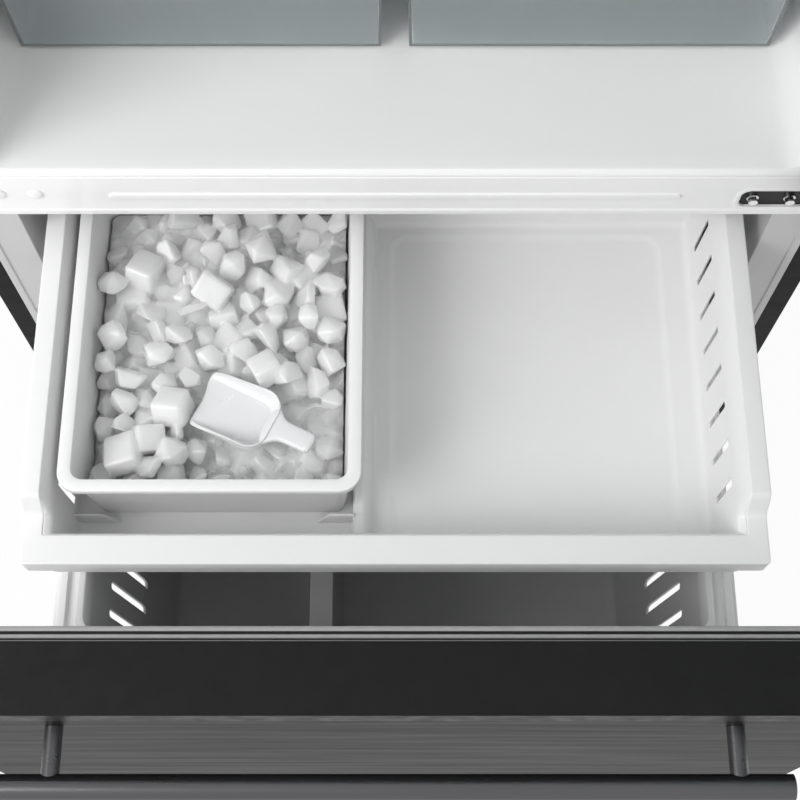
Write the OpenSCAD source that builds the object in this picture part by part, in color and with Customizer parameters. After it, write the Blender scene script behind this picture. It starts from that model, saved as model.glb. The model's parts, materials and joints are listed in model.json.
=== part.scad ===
// Bottom freezer refrigerator, millimetres. X is right, Y is back, Z is up.
// The origin is on the floor under the middle of the cabinet.

/* [Rest pose] */
// How far the freezer is pulled out
freezer_open = 360; // [0:10:380]
// How far the fridge door is open, in degrees
door_angle = 130; // [0:5:135]

/* [Cabinet] */
// Width of the cabinet
cab_w = 762; // [740:1:800]
// Depth of the cabinet without its doors
cab_d = 600; // [590:1:680]
// Height of the cabinet's top
cab_h = 1690; // [1640:1:1780]
// Height of the cabinet's underside
base_z = 38; // [36:1:46]
// Thickness of the sheet steel
steel_t = 1; // [0.6:0.1:1.6]
// Thickness of the plastic liners
liner_t = 2; // [1.5:0.1:3]
// Width of the wrapper's front return
return_w = 20; // [16:1:24]
// Width of the bead beside the return
bead_w = 7.5; // [5:0.5:9]
// Height of that bead
bead_h = 1.5; // [1:0.1:2]
// Side wall of the fridge compartment
fridge_wall = 45; // [42:1:52]
// Side wall of the freezer compartment
freezer_wall = 57.5; // [54:0.5:64]
// Thickness of the roof
roof_wall = 60; // [50:1:70]
// Thickness of the back wall
back_wall = 60; // [50:1:70]
// Thickness of the freezer's floor
floor_wall = 62; // [55:1:70]

/* [Cross rail] */
// Height of the cross rail's upper edge
rail_z = 690; // [670:1:710]
// Height of the cross rail's face
rail_h = 59; // [54:1:64]
// Thickness of the rail's sheet
rail_t = 1.2; // [0.8:0.1:2]
// Depth of the rail's upper and lower returns
rail_return = 14; // [10:1:20]
// Step from the rail up to the fridge floor
sill_h = 7; // [5:1:10]
// Half length of the raised bar
bar_half = 239; // [200:1:260]
// Height of the raised bar
bar_h = 9.2; // [8:0.2:12]
// How far the raised bar stands out
bar_d = 1; // [0.5:0.1:1.2]
// Distance of the bar's middle below the rail's upper edge
bar_drop = 30; // [27:1:31]
// Length of the recess for the middle hinge
recess_w = 70; // [64:1:90]
// Height of that recess
recess_h = 26; // [24:1:32]
// Depth of that recess
recess_d = 5; // [4:0.5:6]
// Distance of the hinge bolts below the rail's upper edge
bolt_drop = 36; // [33:1:38]
// Distance from the cabinet's side to the outer hinge bolt
bolt_inset = 49.7; // [47:0.1:54]
// Distance between the hinge bolts
bolt_pitch = 31; // [26:1:34]
// Radius of the hinge bolts
bolt_r = 2.5; // [2:0.1:3.5]
// Radius of the blanking plugs
plug_r = 7; // [5:0.5:8]
// Distance of the blanking plugs below the rail's upper edge
plug_drop = 27; // [24:1:32]

/* [Hinges] */
// Distance of the hinge pins from the cabinet's side
pin_inset = 18; // [17:1:22]
// Distance of the hinge pins in front of the cabinet
pin_out = 35; // [33:1:38]
// Radius of the hinge pins
pin_r = 4; // [3:0.5:5]
// Radial clearance round pins, shafts and axles
fit = 0.05; // [0.02:0.01:0.09]
// Thickness of the hinge plates
plate_t = 3; // [2.5:0.1:3.5]
// Thickness of the middle hinge's arm
arm_t = 4; // [3:0.5:5]
// Height of the top hinge's cover
cover_h = 24; // [20:1:30]
// Thickness of small plastic walls
skin_t = 2.5; // [2:0.1:3]

/* [Doors] */
// Thickness of the doors without their gaskets
door_t = 55; // [50:1:62]
// Gap between the doors and the cabinet
door_gap = 14; // [12:0.5:16]
// How far each door stands in from the cabinet's side
door_inset = 2; // [1:0.5:3]
// Distance from the rail's upper edge down to the freezer door's top
freezer_door_drop = 38; // [37:1:42]
// Height of the freezer door's underside
freezer_door_z = 60; // [58:1:68]
// Distance from the rail's upper edge down to the fridge door's underside
fridge_door_drop = 22; // [20:1:24]
// Gap between the cabinet's top and the fridge door's top
door_top_gap = 4; // [3:0.5:6]
// Height of the doors' end caps
cap_h = 25; // [23:1:32]
// Radius of the doors' front edges
door_r = 8; // [4:1:14]
// Width of the gaskets
gasket_w = 18; // [14:1:18]
// Distance from the doors' sides to their gaskets
gasket_in = 18; // [17.5:0.5:22]
// Distance from the fridge door's underside to its gasket
gasket_low = 5; // [3:0.5:7]
// Distance from the freezer door's top to its gasket
gasket_top = 3; // [1:0.5:4]
// Gap left between gasket and cabinet
seal_gap = 0.3; // [0.2:0.05:0.5]
// Depth of the raised frame on the fridge door's liner
dyke_d = 36; // [25:1:45]
// Width of that raised frame
dyke_w = 30; // [22:1:36]
// Gap between that frame and the compartment's walls
dyke_gap = 14; // [13:1:18]
// Depth of the raised frame on the freezer door's liner
freezer_dyke_d = 11; // [6:1:12]
// Radius of the handles
handle_r = 10; // [8:0.5:12]
// Distance from a door's face to its handle's middle
handle_out = 45; // [38:1:52]
// Radius of the handles' posts
post_r = 7; // [5:0.5:8]
// Distance from the door's edge to its handle
handle_edge = 38; // [30:1:60]
// Length of the fridge door's handle
fridge_handle_l = 620; // [500:10:760]
// Length of the freezer door's handle
freezer_handle_l = 600; // [480:10:680]
// Distance from a handle's end to its post
post_in = 40; // [25:5:80]

/* [Door bins] */
// Depth of the door bins
bin_d = 108; // [90:1:112]
// Height of the door bins
bin_h = 90; // [70:5:120]
// Height of the lowest door bin above the raised frame
bin_z = 4; // [2:1:20]
// Distance from the raised frame's upper bar to the highest door bin's underside
bin_drop = 261; // [200:1:300]
// Number of door bins
bin_n = 3; // [1:1:3]
// Radius of the door bins' front corners
bin_r = 18; // [8:1:25]

/* [Slides] */
// Height of the slides' middle
slide_z = 345; // [338:1:352]
// Distance from the evaporator cover to the slides
slide_back = 29; // [10:1:45]
// Height of the outer slide members
slide_h = 41.6; // [38:0.1:44]
// Sheet thickness of the slide members
slide_t = 1.5; // [1.2:0.1:2]
// Clearance between the slide members
slide_fit = 0.3; // [0.2:0.05:0.4]
// Width of the outer members' flanges
slide_w = 13; // [11:0.5:14]
// Distance from the liner to the inner members
slide_in = 7.5; // [6:0.1:8]
// Thickness of the bracket arms
bracket_t = 3; // [2:0.5:4]
// Width of the ledge that carries the basket
ledge_w = 25; // [20:1:28]
// Height of the bracket arms
arm_h = 124; // [118:1:130]
// Height of the plates that hold the freezer door
door_plate_h = 150; // [135:5:170]
// Width of those plates
door_plate_w = 40; // [30:1:44]

/* [Lower basket] */
// Gap between the basket's rim and the freezer's wall
basket_gap = 23.5; // [23:0.5:28]
// Distance from the closed freezer's front to the basket
basket_setback = 20; // [16:1:30]
// Distance from the evaporator cover to the closed basket's rim
basket_back = 42; // [30:1:80]
// Distance from the machine compartment's wall to the closed basket
basket_low_back = 19; // [14:1:50]
// Height of the basket
basket_h = 334; // [300:2:340]
// Height of the step above the basket's underside
basket_step = 184; // [180:2:190]
// Width of the basket's rim
basket_rim_w = 22.5; // [20:0.5:24]
// Height of the basket's rim
basket_rim_h = 6.7; // [6:0.1:9]
// Width of the groove that the upper drawer runs in
track_w = 9.3; // [8.5:0.1:10]
// Depth of that groove
track_d = 4.7; // [3:0.1:5]
// Width of the rim outside that groove
track_in = 7.5; // [6:0.1:8]
// Draft of the basket's sides above its step
basket_draft = 20; // [14:1:22]
// Draft of the basket's sides below its step
basket_low_draft = 6; // [4:1:8]
// Distance from the rim's inner edge in to the basket's side
basket_shoulder = 3; // [2:0.5:8]
// Height of the slots in the basket's sides
basket_slot_h = 109; // [80:1:112]
// Width of those slots
basket_slot_w = 7; // [5:0.5:9]
// Distance between those slots
basket_slot_pitch = 26; // [22:1:34]
// Distance from the basket's front to its first slot
basket_slot_y = 45.5; // [40:0.5:52]
// Distance from the basket's rim down to its slots
basket_slot_drop = 57; // [40:1:60]
// Thickness of the divider
divider_w = 22; // [16:1:26]
// Distance from the middle to the divider
divider_x = 71; // [50:1:90]
// Height of the divider
divider_h = 240; // [200:5:300]

/* [Upper drawer] */
// Gap between the drawer's rim and the freezer's wall
drawer_gap = 16; // [14:0.5:18]
// Height of the drawer's rim above the basket's rim
drawer_rise = 133; // [126:1:140]
// Distance from the closed freezer's front to the drawer
drawer_setback = 66; // [60:1:70]
// Distance from the evaporator cover to the closed drawer
drawer_back_gap = 26; // [22:1:45]
// Height of the drawer, from its underside to its rim
drawer_h = 112.5; // [100:0.5:116]
// Thickness of the drawer's walls
drawer_t = 2.5; // [2:0.1:3]
// Width of the drawer's side rims
drawer_rim_w = 16; // [14:0.5:18]
// Depth of the drawer's front lip
drawer_lip = 24; // [20:1:28]
// Height of the skirt below the rim
drawer_skirt = 22; // [16:1:26]
// How far the front is lower than the sides
dip_h = 22; // [10:1:26]
// Length of the slope down to the front
dip_l = 14; // [12:1:30]
// Distance from the drawer's front to that slope
dip_y = 40; // [36:1:50]
// Distance from the rim's inner edge in to the drawer's side
drawer_shoulder = 7.5; // [5:0.5:10]
// Height of the rounded shoulder between them
shoulder_h = 28; // [20:1:36]
// Draft of the drawer's sides below the shoulder
drawer_draft = 3; // [2:0.5:6]
// Height of the vent slots
vent_h = 57; // [40:1:60]
// Width of the vent slots
vent_w = 5; // [3:0.5:6]
// Distance between the vent slots
vent_pitch = 35.4; // [30:0.1:40]
// Distance from the rim down to the vent slots
vent_drop = 30; // [26:1:36]
// Distance from the drawer's front to the first vent slot
vent_y = 75; // [72:1:80]
// Width of the rib between the two bays
rib_w = 17; // [12:1:24]
// Height of that rib
rib_h = 18; // [10:1:24]
// Distance from the middle to that rib's right side
rib_x = 21; // [10:1:30]
// Depth of the panel pressed into the floor
panel_d = 0.8; // [0.4:0.1:1]
// Distance from the drawer's side to that panel
panel_in = 32; // [24:1:50]
// Clearance of the runners in their grooves
runner_fit = 0.3; // [0.2:0.05:0.4]
// Height of the stops in front of the ice bin
stop_h = 22; // [12:1:24]

/* [Ice bin] */
// Width of the ice bin's rim
ice_w = 252; // [235:1:253]
// Distance from the drawer's back to the ice bin's rim
ice_back = 32.5; // [27:0.5:60]
// Height of the ice bin
ice_h = 103; // [95:0.5:106]
// Wall of the ice bin
ice_t = 2.4; // [2:0.1:3]
// Width of the ice bin's rim flange
ice_rim = 8; // [6:0.5:10]
// Draft of the ice bin's sides
ice_draft = 9; // [6:1:10]
// Corner radius of the ice bin's rim
ice_r = 18; // [14:1:22]
// Gap between the ice bin and the rib
ice_gap = 3; // [2.5:0.1:4]
// Distance from the drawer's front to the ice bin's rim
ice_y = 57.5; // [50:0.5:60]
// Height of the bed of ice above the bin's floor
bed_h = 56; // [30:1:58]
// Size of one ice cube
cube_s = 24; // [20:1:26]
// Rows of ice cubes from side to side
cube_nx = 5; // [3:1:5]
// Rows of ice cubes from front to back
cube_ny = 6; // [3:1:6]

/* [Ice scoop] */
// Length of the scoop's bowl
scoop_l = 74; // [60:1:78]
// Width of the scoop's bowl
scoop_w = 55; // [46:1:58]
// Height of the scoop's bowl
scoop_h = 22; // [16:1:24]
// Wall of the scoop
scoop_t = 2; // [1.5:0.1:2.5]
// Length of the scoop's handle
grip_l = 38; // [34:1:46]
// Width of the scoop's handle
grip_w = 17; // [14:1:20]
// Distance from the ice bin's right rim to the middle of the scoop's bowl
scoop_x = 110; // [104:1:116]
// Distance from the ice bin's front rim to the middle of the scoop's bowl
scoop_y = 82; // [78:1:90]
// Turn of the scoop
scoop_turn = -26; // [-35:1:-18]

/* [Shelves and crispers] */
// Distance from the compartment's front to the shelves
shelf_y = 115; // [110:1:150]
// Gap between the shelves and the side walls
shelf_gap = 10; // [8:1:14]
// Height of the crisper cover above the fridge floor
cover_z = 208; // [190:1:230]
// Distance from the highest shelf to the roof
shelf_top_gap = 185; // [150:5:270]
// Number of shelves above the crisper cover
shelf_n = 3; // [1:1:3]
// Height of the shelf frames
shelf_h = 12; // [10:1:16]
// Width of the shelf frames
frame_w = 12; // [10:1:20]
// Thickness of the glass
glass_t = 4; // [3:0.5:5]
// Distance from the back wall to the shelf frames
shelf_back = 18; // [16:1:24]
// Depth of the shelf tracks
track_h = 8; // [6:1:12]
// How far the shelf tracks reach above the highest shelf
track_up = 60; // [40:5:90]
// Distance from the middle to the shelf tracks
track_x = 200; // [150:5:260]
// Gap under the crispers
crisper_up = 4; // [2:1:8]
// Distance from the crisper cover's underside to the crispers' rims
crisper_drop = 15; // [12:1:20]
// Width of the crispers' rim flanges
crisper_rim = 7; // [6:0.5:9]
// Distance from the back wall to the crispers
crisper_back = 40; // [30:5:85]

/* [Feet and machine compartment] */
// Radius of the levelling legs' studs
leg_r = 5; // [4:0.5:6]
// Radius of the levelling legs' feet
foot_r = 20; // [16:1:26]
// Height of the levelling legs' feet
foot_h = 8; // [6:1:10]
// Distance from the cabinet's side to legs and rollers
leg_in = 50; // [40:1:70]
// Distance from the cabinet's front to the legs
leg_y = 45; // [40:1:70]
// Height of the threaded bosses that hold the legs
boss_h = 18; // [12:1:20]
// Radius of the rear rollers
roller_r = 17; // [15:0.5:18]
// Width of the rear rollers
roller_w = 25; // [18:1:30]
// Radius of the rear axle
axle_r = 4; // [3:0.5:5]
// Distance from the cabinet's back to the rear axle
axle_in = 50; // [40:1:70]
// Depth of the machine compartment
machine_d = 205; // [200:1:215]
// Height of the machine compartment
machine_h = 212; // [205:1:215]
// Insulation over the machine compartment
hump_wall = 50; // [45:1:55]
// Radius of the compressor
comp_r = 72; // [60:1:74]
// Height of the compressor
comp_h = 150; // [130:1:160]
// Height of the compressor's rubber mounts
mount_h = 14; // [10:1:18]
// Radius of the condenser fan
fan_r = 65; // [50:1:70]
// Height of the toe grille
grille_h = 44; // [36:1:46]
// Height of the toe grille's lower edge
grille_z = 10; // [8:1:12]

/* [Cooling] */
// Distance from the freezer's back wall to the evaporator cover's front
coil_space = 58; // [56:1:62]
// Width of the evaporator
coil_w = 440; // [380:5:480]
// Height of the evaporator
coil_h = 150; // [120:5:160]
// Number of the evaporator's fins
fin_n = 12; // [8:1:16]
// Radius of the evaporator's tubes
tube_r = 4; // [3:0.5:5]
// Radius of the evaporator fan
cold_fan_r = 45; // [38:1:48]
// Half width of the fridge's air duct
duct_half = 110; // [80:1:130]
// Radius of the temperature knob
knob_r = 16; // [12:1:20]

/* [Hidden] */
$fn = 32;
// Cuts reach this far past the faces that they open
over = 1;
// Seats between separate pieces keep this gap
seat = 0.3;

half_w = cab_w / 2;
front_y = -cab_d / 2;
back_y = cab_d / 2;
inner_half = half_w - steel_t;
flange_half = half_w - return_w;
liner_back = back_y - back_wall;
pan_t = 1.5 * steel_t;
pan_z = base_z + pan_t;

fr_half = half_w - fridge_wall;
fr_floor = rail_z + sill_h;
fr_top = cab_h - roof_wall;
fz_half = half_w - freezer_wall;
fz_floor = base_z + floor_wall;
fz_top = rail_z - rail_h;
machine_y = back_y - machine_d;
machine_z = base_z + machine_h;
hump_y = machine_y - hump_wall;
hump_z = machine_z + hump_wall;
coil_y = liner_back - coil_space;
coil_z = hump_z + 55;

recess_x = flange_half - rail_t - recess_w;
bolt_z = rail_z - bolt_drop;
plug_z = rail_z - plug_drop;
bolt_xs = [half_w - bolt_inset, half_w - bolt_inset - bolt_pitch];
hinge = [half_w - pin_inset, front_y - pin_out, 0];
plate_y = front_y + recess_d - plate_t;
arm_z = rail_z - freezer_door_drop + 3;
neck_x = bolt_xs[0] + 2 * bolt_r + 4.8;
top_bolts = [[-50, 55], [-18, 55], [-34, 82]];

door_half = half_w - door_inset;
door_y = front_y - door_gap;
door_front = door_y - door_t;
fridge_door_z0 = rail_z - fridge_door_drop;
fridge_door_z1 = cab_h - door_top_gap;
freezer_door_z1 = rail_z - freezer_door_drop;
seal_y = front_y - bead_h - seal_gap;
gasket_half = door_half - gasket_in;
dyke_half = fr_half - dyke_gap;
dyke_z0 = fr_floor + dyke_gap;
dyke_z1 = fr_top - dyke_gap;
bin_z0 = dyke_z0 + dyke_w + bin_z;
bin_pitch = (dyke_z1 - dyke_w - bin_drop - bin_z0) / max(1, bin_n - 1);
freezer_dyke_half = gasket_half - gasket_w - 12;
freezer_dyke_z0 = fz_floor + dyke_gap;
freezer_dyke_z1 = freezer_door_z1 - gasket_top - gasket_w - 12;
handle_y = door_front - handle_out;
fridge_handle_x = -(door_half - handle_edge);
fridge_handle_z = (fridge_door_z0 + fridge_door_z1) / 2 - 60;
freezer_handle_z = freezer_door_z1 - handle_edge - 14;

slide_y = front_y + 3;
slide_l = coil_y - slide_back - slide_y;
slide_in_h = slide_h - 2 * slide_t - 2 * slide_fit;
slide_core_h = slide_in_h - 2 * slide_t - 2 * slide_fit;
arm_x = fz_half - slide_in - 11.5 - bracket_t;
basket_half = fz_half - basket_gap;
basket_y = front_y + basket_setback;
basket_d = coil_y - basket_back - basket_y;
basket_low_d = hump_y - basket_low_back - basket_y;
basket_top = slide_z + 117;
basket_low = basket_top - basket_h;
ledge_z = basket_top - basket_rim_h - seat;
side_half = basket_half - basket_rim_w - basket_shoulder;
track_mid = basket_half - track_in - track_w / 2;
basket_wall = 2.5;

drawer_half = fz_half - drawer_gap;
drawer_y = front_y + drawer_setback;
drawer_back = coil_y - drawer_back_gap;
drawer_d = drawer_back - drawer_y;
drawer_top = basket_top + drawer_rise;
drawer_floor = drawer_top - drawer_h + drawer_t;
drawer_in = drawer_half - drawer_rim_w;
shoulder_in = drawer_in - drawer_shoulder;
wall_in = shoulder_in - drawer_draft;
runner_half = track_w / 2 - 2 * runner_fit;

ice_x1 = -(rib_x + rib_w) - ice_gap + ice_draft + ice_rim - 4;
ice_mid = ice_x1 - ice_w / 2;
ice_front = drawer_y + ice_y;
ice_d = drawer_d - ice_y - ice_back;
ice_z = drawer_floor + seat;
bed_z = ice_z + ice_t + seat;
scoop_mid = [ice_x1 - scoop_x, ice_front + scoop_y, bed_z + bed_h + 7];

shelf_y0 = front_y + shelf_y;
shelf_y1 = liner_back - shelf_back;
shelf_half = fr_half - shelf_gap;
shelf_pitch = (fr_top - shelf_top_gap - fr_floor - cover_z) / shelf_n;
shelf_zs = [for (i = [0:shelf_n]) fr_floor + cover_z + i * shelf_pitch];
hang_z = shelf_zs[0] - crisper_drop;
hang_t = 2;
rim_h = 3;
crisper_z0 = fr_floor + crisper_up;
crisper_d = liner_back - crisper_back - shelf_y0;
cold_fan_z = coil_z + coil_h + cold_fan_r + 18;
comp_x = half_w - 205;
comp_y = machine_y + machine_d / 2 + 2;
fan_x = -half_w + 300;
fan_z = pan_z + fan_r + 30;
roller_y = back_y - axle_in;
leg_x = half_w - leg_in;
leg_pos_y = front_y + leg_y;

// Colours, as the photograph shows them
dark = [0.16, 0.16, 0.17];
white = [0.93, 0.93, 0.93];
pale = [0.86, 0.87, 0.87];
grey = [0.55, 0.56, 0.57];
steel = [0.7, 0.7, 0.72];

// Helpers
module box(lo, hi) {
    translate(lo) cube(hi - lo);
}

module both() {
    children();
    mirror([1, 0, 0]) children();
}

module along_x(x0, x1) {
    translate([x0, 0, 0]) rotate([90, 0, 90]) linear_extrude(x1 - x0) children();
}

module along_y(y0, y1) {
    translate([0, y1, 0]) rotate([90, 0, 0]) linear_extrude(y1 - y0) children();
}

module round_rect(w, d, r) {
    square([w - 2 * r, d], center = true);
    square([w, d - 2 * r], center = true);
    for (x = [-1, 1], y = [-1, 1]) translate([x * (w / 2 - r), y * (d / 2 - r)]) circle(r);
}

// A flat slot with round ends, standing up in its sketch
module slot(w, h) {
    square([w, h - w], center = true);
    for (z = [-1, 1]) translate([0, z * (h - w) / 2]) circle(w / 2);
}

module pulled_out() {
    translate([0, -freezer_open, 0]) children();
}

module swung_open() {
    translate(hinge) rotate([0, 0, door_angle]) translate(-hinge) children();
}

module ring(half, z0, z1, w, y0, y1) {
    difference() {
        box([-half, y0, z0], [half, y1, z1]);
        box([-half + w, y0 - over, z0 + w], [half - w, y1 + over, z1 - w]);
    }
}

module hex_bolt(r, shank) {
    cylinder(h = 1.6, r = 2 * r);
    cylinder(h = 1.6 + 1.8 * r, r = 1.7 * r, $fn = 6);
    translate([0, 0, -shank]) cylinder(h = shank + over, r = r);
}

// Cabinet
module outer_shell() {
    color(dark) difference() {
        box([-half_w, front_y, base_z], [half_w, back_y, cab_h]);
        box([-inner_half, front_y + steel_t, base_z - over],
            [inner_half, back_y + over, cab_h - steel_t]);
        box([-flange_half, front_y - over, base_z - over],
            [flange_half, front_y + 2 * steel_t, cab_h - return_w]);
        for (p = top_bolts) translate([hinge[0] + p[0], hinge[1] + p[1], cab_h - 2 * steel_t])
            cylinder(h = 4 * steel_t, r = bolt_r + fit);
    }
}

module back_panel() {
    color(steel) box([-inner_half, back_y - steel_t, machine_z], [inner_half, back_y, cab_h - steel_t]);
}

module leg_places() {
    for (x = [-leg_x, leg_x]) translate([x, leg_pos_y, 0]) children();
}

module base_pan() {
    bracket_z = roller_r - axle_r - 5;
    color(steel) difference() {
        union() {
            box([-inner_half, front_y + steel_t, base_z], [inner_half, back_y - 3 * steel_t, pan_z]);
            leg_places() translate([0, 0, base_z - boss_h]) cylinder(h = boss_h + over, r = leg_r + 6);
            for (x = [-leg_x, leg_x], s = [-1, 1]) translate([x + s * (roller_w / 2 + 3), roller_y, 0])
                box([-1.5, -14, bracket_z], [1.5, 14, base_z + over]);
        }
        leg_places() translate([0, 0, base_z - boss_h - over])
            cylinder(h = boss_h + pan_t + 2 * over, r = leg_r + fit);
        translate([-half_w, roller_y, roller_r]) rotate([0, 90, 0])
            cylinder(h = cab_w, r = axle_r + fit);
    }
}

module freezer_space(g) {
    difference() {
        box([-fz_half - g, front_y, fz_floor - g], [fz_half + g, liner_back + g, fz_top + g]);
        box([-half_w, hump_y + g, base_z], [half_w, back_y, hump_z - g]);
    }
}

module fridge_space(g) {
    box([-fr_half - g, front_y, fr_floor - g], [fr_half + g, liner_back + g, fr_top + g]);
}

module cabinet_foam() {
    color([0.9, 0.85, 0.6]) difference() {
        box([-inner_half, front_y + liner_t, pan_z],
            [inner_half, back_y - steel_t, cab_h - steel_t]);
        freezer_space(liner_t);
        fridge_space(liner_t);
        box([-half_w, machine_y, base_z], [half_w, back_y + over, machine_z]);
        box([-half_w, front_y, fz_top + liner_t],
            [half_w, front_y + recess_d + rail_t, rail_z]);
        box([-half_w, front_y, rail_z - rail_t], [half_w, front_y + rail_return, rail_z]);
        leg_places() translate([0, 0, pan_z - over]) cylinder(h = 16, r = leg_r + 3);
        for (x = bolt_xs) translate([x, front_y - over, bolt_z]) rotate([-90, 0, 0])
            cylinder(h = recess_d + 17, r = bolt_r + fit);
        for (p = top_bolts) translate([hinge[0] + p[0], hinge[1] + p[1], cab_h - 14])
            cylinder(h = 20, r = bolt_r + fit);
    }
}

module front_flange(z0, z1, bead_top) {
    box([-flange_half, front_y, z0], [flange_half, front_y + liner_t, z1]);
    both() box([flange_half - bead_w, front_y - bead_h, z0], [flange_half, front_y + over, z1]);
    if (bead_top) box([-flange_half, front_y - bead_h, z1 - bead_w],
        [flange_half, front_y + over, z1]);
}

module fridge_liner() {
    color(pale) difference() {
        union() {
            fridge_space(liner_t);
            front_flange(rail_z, cab_h - return_w, true);
        }
        translate([0, -2 * bead_h, 0]) fridge_space(0);
        fridge_space(0);
    }
}

module freezer_liner() {
    color(pale) difference() {
        union() {
            freezer_space(liner_t);
            difference() {
                front_flange(pan_z, fz_top - rail_t, false);
                box([-fz_half, front_y - 2 * bead_h, fz_floor],
                    [fz_half, front_y + 2 * liner_t, fz_top + over]);
            }
        }
        freezer_space(0);
    }
}

module mullion_rail() {
    color(white) difference() {
        union() {
            box([-flange_half, front_y - rail_t, fz_top - rail_t], [flange_half, front_y, rail_z]);
            box([-flange_half, front_y - rail_t, rail_z - rail_t],
                [flange_half, front_y + rail_return, rail_z]);
            box([-fz_half, front_y - rail_t, fz_top - rail_t],
                [fz_half, front_y + rail_return, fz_top]);
            box([recess_x - rail_t, front_y - rail_t, bolt_z - recess_h / 2 - rail_t],
                [flange_half, front_y + recess_d + rail_t, bolt_z + recess_h / 2 + rail_t]);
            along_y(front_y - rail_t - bar_d, front_y - rail_t / 2)
                translate([0, rail_z - bar_drop]) rotate(90) slot(bar_h, 2 * bar_half);
        }
        along_y(front_y - 2 * rail_t, front_y + recess_d)
            translate([recess_x + recess_w / 2, bolt_z]) round_rect(recess_w, recess_h, 8);
        for (x = bolt_xs) translate([x, front_y, bolt_z]) rotate([-90, 0, 0])
            cylinder(h = recess_d + 2 * rail_t, r = bolt_r + fit);
        for (x = bolt_xs) translate([-x, front_y - 2 * rail_t, plug_z]) rotate([-90, 0, 0])
            cylinder(h = 3 * rail_t, r = plug_r / 2 + fit);
    }
}

module mullion_plugs() {
    color(white) for (x = bolt_xs) translate([-x, front_y - rail_t, plug_z]) {
        rotate([90, 0, 0]) rotate_extrude() intersection() {
            translate([0, -plug_r * 1.2]) circle(plug_r * 1.56);
            square([plug_r, plug_r]);
        }
        rotate([-90, 0, 0]) cylinder(h = rail_t + 3, r = plug_r / 2);
    }
}

module middle_hinge() {
    pin_base = arm_z + arm_t;
    color(dark) {
        difference() {
            union() {
                along_y(plate_y, front_y + recess_d)
                    translate([recess_x + recess_w / 2, bolt_z])
                        round_rect(recess_w - 2 * seat, recess_h - 2 * seat, 7);
                box([neck_x, hinge[1] - 12, arm_z], [hinge[0] - pin_r, plate_y + over, pin_base]);
                box([neck_x, hinge[1] - 12, arm_z],
                    [hinge[0] + 12, front_y - bead_h - 2 * seal_gap, pin_base]);
            }
            for (x = bolt_xs) translate([x, front_y - over, bolt_z]) rotate([-90, 0, 0])
                cylinder(h = recess_d + 2 * over, r = bolt_r + fit);
        }
        translate([hinge[0], hinge[1], pin_base - over])
            cylinder(h = fridge_door_z0 - pin_base + 18 + over, r = pin_r);
        translate([hinge[0], hinge[1], pin_base - over])
            cylinder(h = fridge_door_z0 - pin_base - seat + over, r = 2 * pin_r);
    }
}

module top_hinge() {
    color(dark) difference() {
        union() {
            box([hinge[0] - 62, hinge[1] + 42, cab_h], [hinge[0] - 6, hinge[1] + 95, cab_h + plate_t]);
            box([hinge[0] - 34, hinge[1] - 11, cab_h], [hinge[0] + 11, hinge[1] + 50, cab_h + plate_t]);
            translate([hinge[0], hinge[1], fridge_door_z1 - 18])
                cylinder(h = door_top_gap + 18 + over, r = pin_r);
        }
        for (p = top_bolts) translate([hinge[0] + p[0], hinge[1] + p[1], cab_h - over])
            cylinder(h = plate_t + 2 * over, r = bolt_r + fit);
    }
}

module hinge_bolts() {
    color(steel) {
        for (x = bolt_xs) translate([x, plate_y, bolt_z]) rotate([90, 0, 0])
            hex_bolt(bolt_r, recess_d + 12);
        for (p = top_bolts) translate([hinge[0] + p[0], hinge[1] + p[1], cab_h + plate_t])
            hex_bolt(bolt_r, 14);
    }
}

module top_hinge_cover() {
    lo = [hinge[0] - 68, hinge[1] - 14, cab_h];
    hi = [hinge[0] + 16, hinge[1] + 102, cab_h + cover_h];
    color(dark) difference() {
        box(lo, hi);
        box([lo[0] + skin_t, lo[1] + skin_t, lo[2] - over], hi - [skin_t, skin_t, skin_t]);
    }
}

module toe_grille() {
    half = flange_half - bead_w - 1;
    slot_n = 22;
    slot_pitch = 2 * (half - 16) / slot_n;
    color(dark) difference() {
        box([-half, front_y - 3, grille_z], [half, front_y, grille_z + grille_h]);
        for (i = [0:slot_n - 1]) translate([-half + 16 + (i + 0.5) * slot_pitch, 0, 0])
            along_y(front_y - 3 - over, front_y + over)
                translate([0, grille_z + grille_h / 2]) slot(6, grille_h - 16);
    }
}

// Feet
module leg() {
    color(dark) cylinder(h = foot_h, r = foot_r);
    color(steel) translate([0, 0, foot_h - over]) cylinder(h = pan_z + 10 - foot_h, r = leg_r);
}

module leg_left() {
    translate([-leg_x, leg_pos_y, 0]) leg();
}

module leg_right() {
    translate([leg_x, leg_pos_y, 0]) leg();
}

module rear_rollers() {
    axle_half = leg_x + roller_w / 2 + 9;
    color(dark) translate([0, roller_y, roller_r]) rotate([0, 90, 0]) {
        for (x = [-leg_x, leg_x]) translate([0, 0, x - roller_w / 2]) cylinder(h = roller_w, r = roller_r);
        translate([0, 0, -axle_half]) cylinder(h = 2 * axle_half, r = axle_r);
    }
}

// Machine compartment
module compressor() {
    z0 = pan_z + mount_h;
    dome = 18;
    color(dark) translate([comp_x, comp_y, z0]) {
        difference() {
            union() {
                rotate_extrude($fn = 64) {
                    square([comp_r - dome, comp_h]);
                    translate([0, dome]) square([comp_r, comp_h - 2 * dome]);
                    for (z = [dome, comp_h - dome]) translate([comp_r - dome, z]) circle(dome);
                }
                box([-comp_r - 14, -comp_r + 12, 0], [comp_r + 14, comp_r - 12, 3]);
            }
            mount_places() cylinder(h = 12, r = 5 + fit, center = true);
        }
        translate([-comp_r - 6, -20, comp_h / 2 - 20]) cube([12, 40, 44]);
    }
}

module mount_places() {
    for (x = [-1, 1], y = [-1, 1]) translate([x * (comp_r + 6), y * (comp_r - 24), 0]) children();
}

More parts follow.
